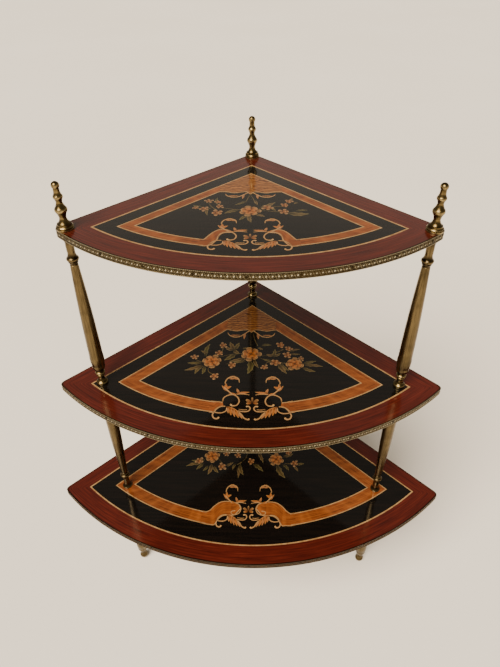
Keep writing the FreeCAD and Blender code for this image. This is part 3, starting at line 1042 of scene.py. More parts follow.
@dataclass(frozen=True)
class FlowerCutter:
    """Cuts the pieces of roses, blossoms, leaves and stems."""

    rose_whorls: tuple[Whorl, ...] = (
        Whorl(count=7, start_share=0.30, reach_share=1.08, width_share=0.66, lift=0.060,
              turn=0.0, ragged=0.24, tint=0.0, tint_spread=0.35),
        Whorl(count=5, start_share=0.16, reach_share=0.80, width_share=0.60, lift=0.085,
              turn=0.5, ragged=0.20, tint=0.75, tint_spread=0.25),
        Whorl(count=4, start_share=0.02, reach_share=0.48, width_share=0.48, lift=0.110,
              turn=0.2, ragged=0.15, tint=0.9, tint_spread=0.1),
    )
    blossom_whorl: Whorl = Whorl(
        count=5, start_share=0.08, reach_share=1.14, width_share=0.64, lift=0.075, turn=0.3,
        ragged=0.40, tint=0.0, tint_spread=0.6)
    heart_share: float = 0.34
    heart_lift: float = 0.03
    heart_tint: float = 1.0
    leaf_lift: float = 0.045
    leaf_lift_steps: int = 4
    leaf_bend: float = 0.10
    leaf_teeth: int = 3
    stem_lift: float = 0.040
    stem_width: float = 0.8
    stem_tint: float = 0.5
    lift_step: float = 0.002

    def whorl(
        self, ring: Whorl, x: float, y: float, radius: float, seed: float, warmth: float = 0.0
    ) -> list[Skin]:
        """Petals of one ring, each turned evenly further round the centre.

        Args:
            ring: the ring's shares.
            x: the flower's centre.
            y: the flower's centre.
            radius: the flower's radius.
            seed: a share that varies the turn, the reach and the tint.
            warmth: added to every petal's tint.

        Returns:
            One plate for each petal.
        """
        petals = []
        for number in range(ring.count):
            vary = (seed + number * GOLDEN_SHARE) % 1
            angle = FULL_TURN * ((number + ring.turn) / ring.count + seed)
            reach = radius * ring.reach_share * (1 - ring.ragged * vary)
            way = np.array([math.cos(angle), math.sin(angle)])
            root = np.array([x, y]) + way * radius * ring.start_share
            petals.append(blade(Blade.PETAL, tuple(root), tuple((x, y) + way * reach),
                                radius * ring.width_share,
                                ring.lift + number * self.lift_step,
                                ring.tint + ring.tint_spread * vary + warmth))
        return petals

    def rose(self, x: float, y: float, radius: float, seed: float) -> list[Skin]:
        """All rings of a full rose, the inner ones lying on the outer ones.

        Args:
            x: the rose's centre.
            y: the rose's centre.
            radius: its radius.
            seed: a share that varies its petals.

        Returns:
            One plate for each petal.
        """
        skins = []
        for ring in self.rose_whorls:
            skins += self.whorl(ring, x, y, radius, seed)
        return skins

    def blossom(self, x: float, y: float, radius: float, seed: float) -> list[Skin]:
        """One ring of petals with a small bud lying on its heart.

        Args:
            x: the blossom's centre.
            y: the blossom's centre.
            radius: its radius.
            seed: a share that varies its petals.

        Returns:
            One plate for each petal, and one for the bud.
        """
        reach = radius * self.heart_share
        bud = blade(Blade.PETAL, (x - reach, y), (x + reach, y), reach * 2,
                    self.blossom_whorl.lift + self.heart_lift, self.heart_tint)
        petals = self.whorl(self.blossom_whorl, x, y, radius, seed, seed / 2)
        return petals + [bud]

    def leaf(self, row: Sequence[float], seed: float) -> Skin:
        """A toothed leaf, bent a little to one side or the other.

        Args:
            row: its root, its tip and its width.
            seed: a share that varies its bend, height and tint.

        Returns:
            The leaf as a closed plate.
        """
        root_x, root_y, tip_x, tip_y, width = row
        bend = self.leaf_bend * math.cos(FULL_TURN * seed)
        lift = self.leaf_lift + self.lift_step * self.leaf_lift_steps * seed
        return blade(Blade.LEAF, (root_x, root_y), (tip_x, tip_y), width, lift, seed, bend,
                     self.leaf_teeth)

    def stem(self, points: Sequence[Point]) -> Skin:
        """A thin stem along its points."""
        widths = [self.stem_width] * len(points)
        return ribbon(points, widths, self.stem_lift, self.stem_tint)


# The scrollwork, drawn once for the right half about the centre of its small flower.
# A strap is its points and the full width at each. A leaf is (root x, root y, tip x,
# tip y, width, tint).

Strap = tuple[tuple[Point, ...], tuple[float, ...]]

SCROLL_LINES: tuple[Strap, ...] = (
    # stem and crest of the upper curl
    (((21, 8.5), (26, 13.5), (30, 18.5)), (1.2, 1.9, 1.5)),
    (((28.5, 22.5), (29.6, 26), (27.8, 31.5), (23.5, 34.9), (18.6, 34.6), (15.2, 31.4),
      (14.4, 26)), (1.0, 1.5, 1.7, 1.9, 1.9, 1.6, 0.5)),
    # line under the inner leaf
    (((17, 8.4), (10.5, 9.2), (3, 7.8)), (1.0, 1.5, 0.7)),
    # rims of the eye
    (((39, -15.6), (35.8, -11.6), (31.8, -9.1), (27.5, -8.8)), (1.3, 1.5, 1.5, 1.3)),
    (((40.5, -16.2), (36, -17.8), (31, -17.9), (26.8, -15.4), (26, -11)),
     (1.3, 1.6, 1.7, 1.5, 1.0)),
    # hook below the eye
    (((38.6, -17), (40, -21), (38.2, -25.2), (34.8, -25.8), (33.2, -23.6)),
     (1.5, 1.7, 1.9, 2.3, 2.7)),
    # end of the lower leaf, with its ball
    (((14, -16.5), (10.5, -20.5), (7.8, -24.8), (4, -26.8), (2.6, -25.4)),
     (2.6, 2.1, 1.8, 2.3, 2.7)),
    # curl beside the middle
    (((15.5, -14.6), (9.5, -16), (4.2, -15.4), (1.9, -12), (3.4, -8.8), (6.4, -9)),
     (0.8, 1.6, 1.7, 1.6, 1.8, 2.7)),
    (((14, -12.6), (9, -13.6), (5, -13.2)), (0.6, 1.2, 0.7)),
)
OPEN_HOOK: Strap = (
    ((30.8, -3), (29.9, 3), (25.8, 6.8), (20.3, 8), (15.6, 4.6), (13.6, -1.5), (15.8, -7),
     (20.6, -8), (22.6, -5.6)),
    (1.3, 1.5, 1.7, 1.8, 1.8, 1.7, 1.7, 2.2, 3.0),
)
ROLLED_HOOK: Strap = (
    ((19.9, 9.6), (12.9, 6.6), (9.6, 0.6), (11.8, -6.2), (17.6, -8.8), (21.6, -6.8),
     (20.8, -3.8), (16.5, -3)),
    (1.2, 1.4, 1.5, 1.5, 1.4, 1.3, 1.2, 1.2),
)
SCROLL_LEAVES: tuple[tuple[float, ...], ...] = (
    # blob of the upper curl with its two spurs
    (31, 15.5, 22.6, 20.4, 3.8, 0.9), (27, 13, 33.0, 21.6, 2.6, 0.5),
    (28.6, 16.5, 28.6, 24.6, 3.0, 0.75),
    # lumps on the crest
    (26.0, 33.0, 19.8, 31.8, 2.6, 0.2), (21.5, 34.6, 15.0, 31.0, 3.2, 0.45),
    (26.0, 34.2, 19.6, 36.4, 2.2, 0.3),
    # inner leaf with its upright point
    (17.5, 9.4, 2.8, 12.0, 3.4, 0.7), (14.4, 10.4, 16.6, 17.0, 2.8, 0.3),
    # knot where the stems cross
    (25.0, 9.8, 17.0, 8.4, 3.0, 0.9),
    # lower leaf and its lobes
    (27.0, -9.4, 12.5, -17.5, 4.6, 0.6), (25.4, -9.6, 24.0, -18.6, 2.9, 0.25),
    (23.0, -10.6, 21.0, -21.4, 2.9, 0.9), (20.0, -12.0, 17.2, -23.4, 2.9, 0.5),
    (17.2, -14.0, 13.4, -24.6, 2.9, 0.85), (14.4, -16.6, 9.6, -25.6, 2.6, 0.3),
)
PENDANT_LINES: tuple[Strap, ...] = (
    (((28.5, -4.5), (26.5, -9.5), (20.5, -13.4), (13.5, -12.4), (8, -7.5), (2.5, -1.5)),
     (0.7, 1.5, 1.8, 1.7, 1.6, 1.3)),
)
PENDANT_LEAVES: tuple[tuple[float, ...], ...] = (
    (26.0, -10.4, 13.0, -9.8, 2.0, 0.3), (7.5, -5.5, 8.6, -17.5, 2.8, 0.2),
)
FLOWER_PETALS: tuple[tuple[float, ...], ...] = (
    (0.4, -3.8, 6.6, 1.4, 4.0, 0.2), (0.4, -4.2, 6.4, -4.6, 3.2, 0.6),
)
FLOWER_BUD: tuple[float, ...] = (0.0, -3.4, 0.0, 4.6, 2.4, 0.0)


@dataclass(frozen=True)
class Marquetry:
    """Pattern of one shelf.

    Attributes:
        band_width: width of the tulipwood band.
        band_stop: where the plain band ends, from the scroll's centre.
        end_back: points of the band end's back edge, from there on.
        end_front: points of its front edge.
        hook: the line that rolls up beside the band's end.
        panel_reach: how far the burr panel reaches from the back corner.
        scroll_centre: centre of the scroll's small flower.
        scroll_scale: size of the scrolls.
        pendant_scale: size of the pendants and of the panel's lobes.
        spray: the flower spray.
    """

    band_width: float
    band_stop: float
    end_back: tuple[Point, ...]
    end_front: tuple[Point, ...]
    hook: Strap
    panel_reach: float
    scroll_centre: Point
    scroll_scale: float
    pendant_scale: float
    spray: Spray


MARQUETRY = {
    "bottom": Marquetry(
        band_width=16.4, band_stop=53.0,
        end_back=((48.4, -2.6), (43.6, 3.2), (36.6, 8.8), (28.4, 10.5), (19.9, 9.6),
                  (12.9, 6.6), (9.6, 0.6)),
        end_front=((47.0, -22.9), (42.6, -23.2), (40.4, -20.4), (37.2, -14.6),
                   (32.0, -10.4), (26.5, -9.4), (17.6, -8.8), (9.6, 0.6)),
        hook=ROLLED_HOOK, panel_reach=125.0, scroll_centre=(-2.2, -264.6),
        scroll_scale=0.98, pendant_scale=1.05, spray=BOTTOM_SPRAY),
    "middle": Marquetry(
        band_width=15.0, band_stop=39.0,
        end_back=((35.5, -2.5), (30.6, -3.2)),
        end_front=((37.4, -14.4), (34.0, -10.4), (29.6, -8.8)),
        hook=OPEN_HOOK, panel_reach=111.0, scroll_centre=(2.9, -228.0),
        scroll_scale=1.0, pendant_scale=1.0, spray=MIDDLE_SPRAY),
    "top": Marquetry(
        band_width=10.6, band_stop=44.6,
        end_back=((41.2, -0.8), (36.2, 7.6), (30.6, 12.6), (25.4, 12.9), (20.4, 10.2),
                  (17.4, 7.4)),
        end_front=((40.0, -19.0), (37.0, -16.6), (34.4, -12.4), (32.0, -7.0), (30.8, 0.0),
                   (26.4, 6.0), (17.4, 7.4)),
        hook=OPEN_HOOK, panel_reach=99.0, scroll_centre=(1.4, -185.4),
        scroll_scale=0.87, pendant_scale=0.85, spray=TOP_SPRAY),
}


@dataclass(frozen=True)
class ShelfEdges:
    """Sizes that every shelf shares.

    Attributes:
        edging: width of the lipping and of the trim, which frame the border.
        lift_step: how much higher each piece lies than the one that it crosses.
        line_lift: height of the scroll's lines above its leaves.
        petal_steps: how many steps apart the small flower's petals lie.
        run_in: a band end's edge starts this many places back on the band's arc.
        line_tint: finish value of the lines along a band end.
        dense: places along each rounded corner.
    """

    back_round: float = 6.0
    lower_tip_round: float = 5.0
    top_tip_round: float = 8.0
    edging: float = 1.6
    veneer: float = 0.6
    line_width: float = 1.6
    string_width: float = 1.2
    band_lift: float = 0.02
    string_lift: float = 0.035
    panel_lift: float = 0.04
    scroll_lift: float = 0.05
    line_lift: float = 0.02
    lift_step: float = 0.001
    petal_steps: int = 4
    scroll_line_share: float = 0.84
    run_in: int = 4
    line_tint: float = 0.5
    lobe_rise: float = 2.6
    lobe_place: float = 18.0
    lobe_width: float = 7.0
    point_rise: float = 5.0
    point_width: float = 2.6
    dense: int = 40
    border_samples: int = 120
    front_samples: int = 260
    ground_samples: int = 241
    panel_samples: int = 81
    band_samples: int = 60


EDGES = ShelfEdges()


def along_line(points: Array, count: int) -> Array:
    """Evenly spaced places along a broken line, its two ends among them.

    Args:
        points: the line's corners.
        count: how many places to return.

    Returns:
        count by 2 places.
    """
    run = distances(points)
    where = np.linspace(0, run[-1], count)
    return np.stack([np.interp(where, run, points[:, k]) for k in (0, 1)], axis=-1)


def arc(centre: Sequence[float], radius: float, start: float, end: float, count: int) -> Array:
    """Places on a circle: the centre plus the radius times (cos a, sin a).

    Args:
        centre: the circle's centre.
        radius: its radius.
        start: the first angle, in radians.
        end: the last angle.
        count: how many places to return.

    Returns:
        count by 2 places.
    """
    angle = np.linspace(start, end, count)
    ring = np.stack([np.cos(angle), np.sin(angle)], axis=-1)
    return np.array(centre) + radius * ring


@dataclass
class Shelf:
    """One shelf: its plan, measured from the frame, and all the inlay on it.

    Attributes:
        name: bottom, middle or top.
        pattern: its marquetry.
        tip_round: radius of its two tips.
        corner_y: where its straight sides would meet.
        side: length of a straight side, and radius of the front arc.
        base: height of its underside.
        top: height of its upper face.
        line_inset: the boxwood line's distance from the side and from the front arc.
        band_inset: the band's distance from the side and from the front arc.
    """

    name: str
    pattern: Marquetry
    tip_round: float
    corner_y: float = field(init=False)
    side: float = field(init=False)
    base: float = field(init=False)
    top: float = field(init=False)
    line_inset: Point = field(init=False)
    band_inset: Point = field(init=False)

    def __post_init__(self) -> None:
        """Read the shelf's place from the frame."""
        lipping_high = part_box(self.name + "_side_lipping")[1]
        trim_low, trim_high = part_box(self.name + "_edge_trim")
        setback = EDGES.back_round * (1 / DIAGONAL - 1)
        self.corner_y = lipping_high.y / MM + setback
        self.side = self.corner_y - trim_low.y / MM
        self.base = trim_low.z / MM
        self.top = trim_high.z / MM
        line_low, line_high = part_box(self.name + "_boxwood_line")
        band_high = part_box(self.name + "_tulipwood_band")[1]
        self.line_inset = ((self.corner_y - line_high.y / MM) * DIAGONAL,
                           self.side - self.corner_y + line_low.y / MM)
        band_side = (self.corner_y - band_high.y / MM) * DIAGONAL
        band_reach = math.hypot(band_high.x / MM / DIAGONAL + band_side, band_side)
        self.band_inset = (band_side, self.side - band_reach)

    def tip_centre(
        self, side_inset: float, arc_inset: float, tip_round: float
    ) -> tuple[float, Point]:
        """Where the right tip's arc has its centre.

        It lies the radius inside both edges, so its angle below the straight side has the
        sine (side inset + radius) / (side - arc inset - radius).

        Args:
            side_inset: distance from the straight side.
            arc_inset: distance from the front arc.
            tip_round: radius of the tip.

        Returns:
            The centre's angle below the x axis, and the centre.
        """
        reach = self.side - arc_inset - tip_round
        angle = QUARTER + math.asin((side_inset + tip_round) / reach)
        return angle, (reach * math.cos(angle), -reach * math.sin(angle))

    def side_edge(
        self, side_inset: float, arc_inset: float, back_round: float, tip_round: float
    ) -> Array:
        """Right-hand edge of an inset outline, from the back corner to the tip's middle.

        A half of the back corner's arc, the straight side and half of the tip's arc.

        Args:
            side_inset: distance from the straight side.
            arc_inset: distance from the front arc.
            back_round: radius of the back corner.
            tip_round: radius of the tip.

        Returns:
            Places with y measured from the back corner.
        """
        back_centre = (0, -(side_inset + back_round) / DIAGONAL)
        back = arc(back_centre, back_round, 2 * QUARTER, QUARTER, EDGES.dense)
        tip_angle, centre = self.tip_centre(side_inset, arc_inset, tip_round)
        middle_angle = (QUARTER - tip_angle) / 2
        tip = arc(centre, tip_round, QUARTER, middle_angle, EDGES.dense)
        return np.concatenate([back, tip])

    def front_edge(self, side_inset: float, arc_inset: float, tip_round: float) -> Array:
        """Front edge of an inset outline, from the right tip's middle to the left one's.

        Half of each tip's arc, and between them the front arc about the back corner.

        Args:
            side_inset: distance from the straight side.
            arc_inset: distance from the front arc.
            tip_round: radius of the tips.

        Returns:
            Places with y measured from the back corner.
        """
        tip_angle, centre = self.tip_centre(side_inset, arc_inset, tip_round)
        middle_angle = (QUARTER - tip_angle) / 2
        tip = arc(centre, tip_round, middle_angle, -tip_angle, EDGES.dense)
        front = arc((0, 0), self.side - arc_inset, -tip_angle, tip_angle - math.pi,
                    4 * EDGES.dense)
        return np.concatenate([tip, front, tip[::-1] * (-1, 1)])

    def strip(self, outer: Array, inner: Array, lift: float, depth: float, samples: int) -> Skin:
        """Flat veneer strip between two edges, with its grain along them.

        It joins the places that lie at equal shares of the two edges' lengths.

        Args:
            outer: places along one edge.
            inner: places along the other.
            lift: height above the shelf.
            depth: the strip's thickness.
            samples: how many places to take along each edge.

        Returns:
            The strip. Its map is the distance along its middle and the distance across.
        """
        edges = [along_line(outer, samples), along_line(inner, samples)]
        flat = np.stack(edges, axis=1)
        run = distances(flat.mean(axis=1))
        width = np.linalg.norm(flat[:, 1] - flat[:, 0], axis=1)
        across = np.stack([np.zeros(samples), width], axis=-1)
        grain = np.stack(np.broadcast_arrays(run[:, None], across), axis=-1) * MM
        return slab(raised(flat, lift), depth, grain)

    def put(
        self, suffix: str, skins: Sequence[Skin], finish: Finish,
        replaces: Sequence[str] = (), weld: bool = False,
    ) -> None:
        """Lay flat forms on this shelf as one piece.

        Args:
            suffix: the piece's name without the shelf's.
            skins: its forms, measured from the back corner and the upper face.
            finish: its surface.
            replaces: CAD nodes that it stands for, without the shelf's name.
            weld: join points that meet.
        """
        placed = [skin.moved(0, self.corner_y, self.top) for skin in skins]
        nodes = [self.name + "_" + node for node in replaces]
        piece(self.name + "_" + suffix, placed, finish, nodes, weld=weld)

    def lay_border(self) -> None:
        """Two side strips and a front strip of mahogany, mitred at the tips."""
        edging = EDGES.edging
        back_round = EDGES.back_round - edging
        tip_round = self.tip_round - edging
        outer = self.side_edge(edging, edging, back_round, tip_round)
        inner = self.side_edge(*self.line_inset, 0, 0)
        right = self.strip(outer, inner, 0, EDGES.veneer, EDGES.border_samples)
        front = self.strip(self.front_edge(edging, edging, tip_round),
                           self.front_edge(*self.line_inset, 0), 0, EDGES.veneer,
                           EDGES.front_samples)
        for suffix, skin in (("border_right", right), ("border_left", right.mirrored(0)),
                             ("border_front", front)):
            self.put(suffix, [skin], MAHOGANY, ["border_veneer"])

    def lay_ground(self) -> None:
        """Black ground that fills the boxwood line, under all the other inlay.

        Each row joins a place on the two straight sides to a place on the front arc.
        """
        inset = [inset + EDGES.line_width for inset in self.line_inset]
        right = self.side_edge(*inset, 0, 0)
        sides = np.concatenate([right[::-1], right * (-1, 1)])
        front = self.front_edge(*inset, 0)
        skin = self.strip(sides, front, 0, EDGES.veneer, EDGES.ground_samples)
        self.put("black_field", [skin], EBONISED, ["black_ground"],
                 weld=True)

    def band_front(self, inset: float, hand: int) -> Array:
        """Front arc of the band at one inset, from the tip to where the band's end starts.

        Args:
            inset: distance from the band's outer edge.
            hand: 1 for the right half, -1 for the left.

        Returns:
            Places with y measured from the back corner.
        """
        side_inset, arc_inset = (value + inset for value in self.band_inset)
        radius = self.side - arc_inset
        tip_angle = self.tip_centre(side_inset, arc_inset, 0)[0]
        pattern = self.pattern
        stop = pattern.scroll_centre[0] * hand + pattern.band_stop * pattern.scroll_scale
        places = arc((0, 0), radius, -tip_angle, -math.acos(stop / radius),
                     EDGES.band_samples)
        return places * (hand, 1)

    def band_run(self, low: float, high: float, lift: float, hand: int) -> list[Skin]:
        """Side and front strips of one half of the band, between two of its insets.

        Args:
            low: distance of the outer edge from the band's outer edge.
            high: distance of the inner edge from it.
            lift: height above the shelf.
            hand: 1 for the right half, -1 for the left.

        Returns:
            The side strip and the front strip.
        """
        sides = [self.side_edge(*(value + inset for value in self.band_inset), 0, 0)
                 * (hand, 1) for inset in (low, high)]
        fronts = [self.band_front(inset, hand) for inset in (low, high)]
        depth = EDGES.veneer + lift
        return [self.strip(*edges, lift, depth, EDGES.band_samples)
                for edges in (sides, fronts)]

    def band_end(self, hand: int) -> tuple[list[Skin], list[Skin]]:
        """Shaped end of the band: wood between two drawn edges, with a line along each.

        Each edge starts with the last places of the band's own arc, so it runs on smoothly.

        Args:
            hand: 1 for the right half, -1 for the left.

        Returns:
            The wood and its pale lines.
        """
        pattern = self.pattern
        edges = []
        for inset, drawn in ((0, pattern.end_front), (pattern.band_width, pattern.end_back)):
            start = self.band_front(inset, hand)[[-EDGES.run_in, -1]]
            rest = [scaled(place, pattern.scroll_centre, pattern.scroll_scale, hand)
                    for place in drawn]
            edges.append(np.concatenate([start, rest]))
        smooth = [smooth_path(edge, CUT.samples * len(edge)) for edge in edges]
        lift = EDGES.band_lift + EDGES.lift_step
        wood = self.strip(*smooth, lift, EDGES.veneer + lift, EDGES.band_samples)
        pale = [ribbon(edge, [EDGES.string_width] * len(edge),
                       EDGES.string_lift + EDGES.lift_step, EDGES.line_tint)
                for edge in edges]
        return [wood], pale

    def lay_band(self) -> None:
        """Tulipwood band, its shaped ends, and the pale strings along its edges."""
        width = self.pattern.band_width
        string = EDGES.string_width
        wood: list[Skin] = []
        strings: list[Skin] = []
        lines: list[Skin] = []
        for hand in (1, -1):
            wood += self.band_run(0, width, EDGES.band_lift, hand)
            strings += self.band_run(0, string, EDGES.string_lift, hand)
            strings += self.band_run(width - string, width, EDGES.string_lift, hand)
            end, pale = self.band_end(hand)
            wood += end
            lines += pale
        strings.append(self.panel_string())
        self.put("band", wood, TULIPWOOD, ["tulipwood_band"])
        self.put("band_strings", strings, BOXWOOD)
        self.put("band_end_lines", lines, SCROLL_LINE)

    def panel_edge(self, x: Array) -> Array:
        """The panel's front edge: a line with a bell curve for each lobe and the point.

        Args:
            x: places across the shelf.

        Returns:
            The edge's y at each of them, from the back corner.
        """
        scale = self.pattern.pendant_scale
        lobe_gap = (np.abs(x) / scale - EDGES.lobe_place) / EDGES.lobe_width
        lobe = EDGES.lobe_rise * np.exp(-(lobe_gap ** 2))
        point = EDGES.point_rise * np.exp(-((x / scale / EDGES.point_width) ** 2))
        return -self.pattern.panel_reach - lobe - point

    def panel_line(self) -> Array:
        """Places along the panel's front edge, between the inner edges of the band."""
        inset = (self.band_inset[0] + self.pattern.band_width) / DIAGONAL
        half_width = self.pattern.panel_reach - inset
        x = np.linspace(-half_width, half_width, EDGES.panel_samples)
        return np.stack([x, self.panel_edge(x)], axis=-1)

    def lay_panel(self) -> None:
        """Burr panel from its lobed front edge back to the outer string of the band."""
        front = self.panel_line()
        inset = (self.band_inset[0] + EDGES.string_width) / DIAGONAL
        sides = np.stack([front[:, 0], -np.abs(front[:, 0]) - inset], axis=-1)
        skin = self.strip(front, sides, EDGES.panel_lift, EDGES.veneer + EDGES.panel_lift,
                          EDGES.panel_samples)
        self.put("burr_panel", [skin], BURR)

    def panel_string(self) -> Skin:
        """Pale string along the panel's lobed edge."""
        outer = self.panel_line()
        lift = EDGES.panel_lift + EDGES.lift_step
        return self.strip(outer, outer + (0, EDGES.string_width), lift, CUT.depth,
                          EDGES.panel_samples)

    def inlay(
        self, lines: Sequence[Strap], leaves: Sequence[Sequence[float]], centre: Point,
        scale: float,
    ) -> tuple[list[Skin], list[Skin]]:
        """Lines and leaves of one pattern, each with its mirror image.

        Args:
            lines: straps of the pattern's right half.
            leaves: leaves of its right half.
            centre: the pattern's centre.
            scale: size of the pattern.

        Returns:
            The plates of the lines and those of the leaves.
        """
        thin: list[Skin] = []
        broad: list[Skin] = []
        width_scale = scale * EDGES.scroll_line_share
        for number, (points, widths) in enumerate(lines):
            places = [scaled(place, centre, scale) for place in points]
            lift = EDGES.scroll_lift + EDGES.line_lift + number * EDGES.lift_step
            right = ribbon(places, [width * width_scale for width in widths], lift,
                           spread(number))
            thin += [right, right.mirrored(centre[0])]
        for number, (root_x, root_y, tip_x, tip_y, width, tint) in enumerate(leaves):
            root = scaled((root_x, root_y), centre, scale)
            tip = scaled((tip_x, tip_y), centre, scale)
            lift = EDGES.scroll_lift + number * EDGES.lift_step
            right = blade(Blade.LEAF, root, tip, width * scale, lift, tint)
            broad += [right, right.mirrored(centre[0])]
        return thin, broad

    def lay_scrollwork(self) -> None:
        """Mirrored scrolls round the small flower, and the pendants under the panel."""
        pattern = self.pattern
        centre = pattern.scroll_centre
        scale = pattern.scroll_scale
        lines, leaves = self.inlay(SCROLL_LINES + (pattern.hook,), SCROLL_LEAVES, centre,
                                   scale)
        more_lines, more_leaves = self.inlay(PENDANT_LINES, PENDANT_LEAVES,
                                             (0, -pattern.panel_reach),
                                             pattern.pendant_scale)
        self.put("scroll_lines", lines + more_lines, SCROLL_LINE)
        self.put("scroll_leaves", leaves + more_leaves, SCROLL_LEAF)
        petals: list[Skin] = []
        for number, row in enumerate(FLOWER_PETALS + (FLOWER_BUD,)):
            root_x, root_y, tip_x, tip_y, width, tint = row
            lift = EDGES.scroll_lift + number * EDGES.petal_steps * EDGES.lift_step
            petal = blade(Blade.PETAL, scaled((root_x, root_y), centre, scale),
                          scaled((tip_x, tip_y), centre, scale), width * scale, lift, tint)
            petals.append(petal)
            if row is not FLOWER_BUD:
                petals.append(petal.mirrored(centre[0]))
        self.put("scroll_flower", petals, ROSE_PETALS)

    def lay_spray(self) -> None:
        """Roses, small blossoms, leaves and stems of the flower spray."""
        cutter = FlowerCutter()
        spray = self.pattern.spray
        roses: list[Skin] = []
        blossoms: list[Skin] = []
        for number, (x, y, radius) in enumerate(spray.roses):
            roses += cutter.rose(x, y, radius, spread(number))
        for number, (x, y, radius) in enumerate(spray.blossoms):
            blossoms += cutter.blossom(x, y, radius, spread(number))
        leaves = [cutter.leaf(row, spread(number)) for number, row in enumerate(spray.leaves)]
        stems = [cutter.stem(points) for points in spray.stems]
        self.put("roses", roses, ROSE_PETALS)
        self.put("blossoms", blossoms, SMALL_PETALS)
        self.put("leaves", leaves, LEAVES)
        self.put("stems", stems, LEAVES)

    def build(self) -> None:
        """Lay everything on the shelf and dress the parts that keep their own form."""
        self.lay_border()
        self.lay_ground()
        self.lay_band()
        self.lay_panel()
        self.lay_scrollwork()
        self.lay_spray()
        EmbossedTrim(self).build()
        dress_node(self.name + "_boxwood_line", BOXWOOD)
        dress_node(self.name + "_side_lipping", LIPPING)
        dress_node(self.name + "_shelf_board", PLYWOOD)


def dress_node(name: str, finish: Finish) -> None:
    """Give a CAD node its finish, in the node's own material slot.

    Args:
        name: the node's name.
        finish: its surface.
    """
    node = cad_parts[name]
    node.material_slots[0].material = finish.make()
    log.info("dressed %s", name)


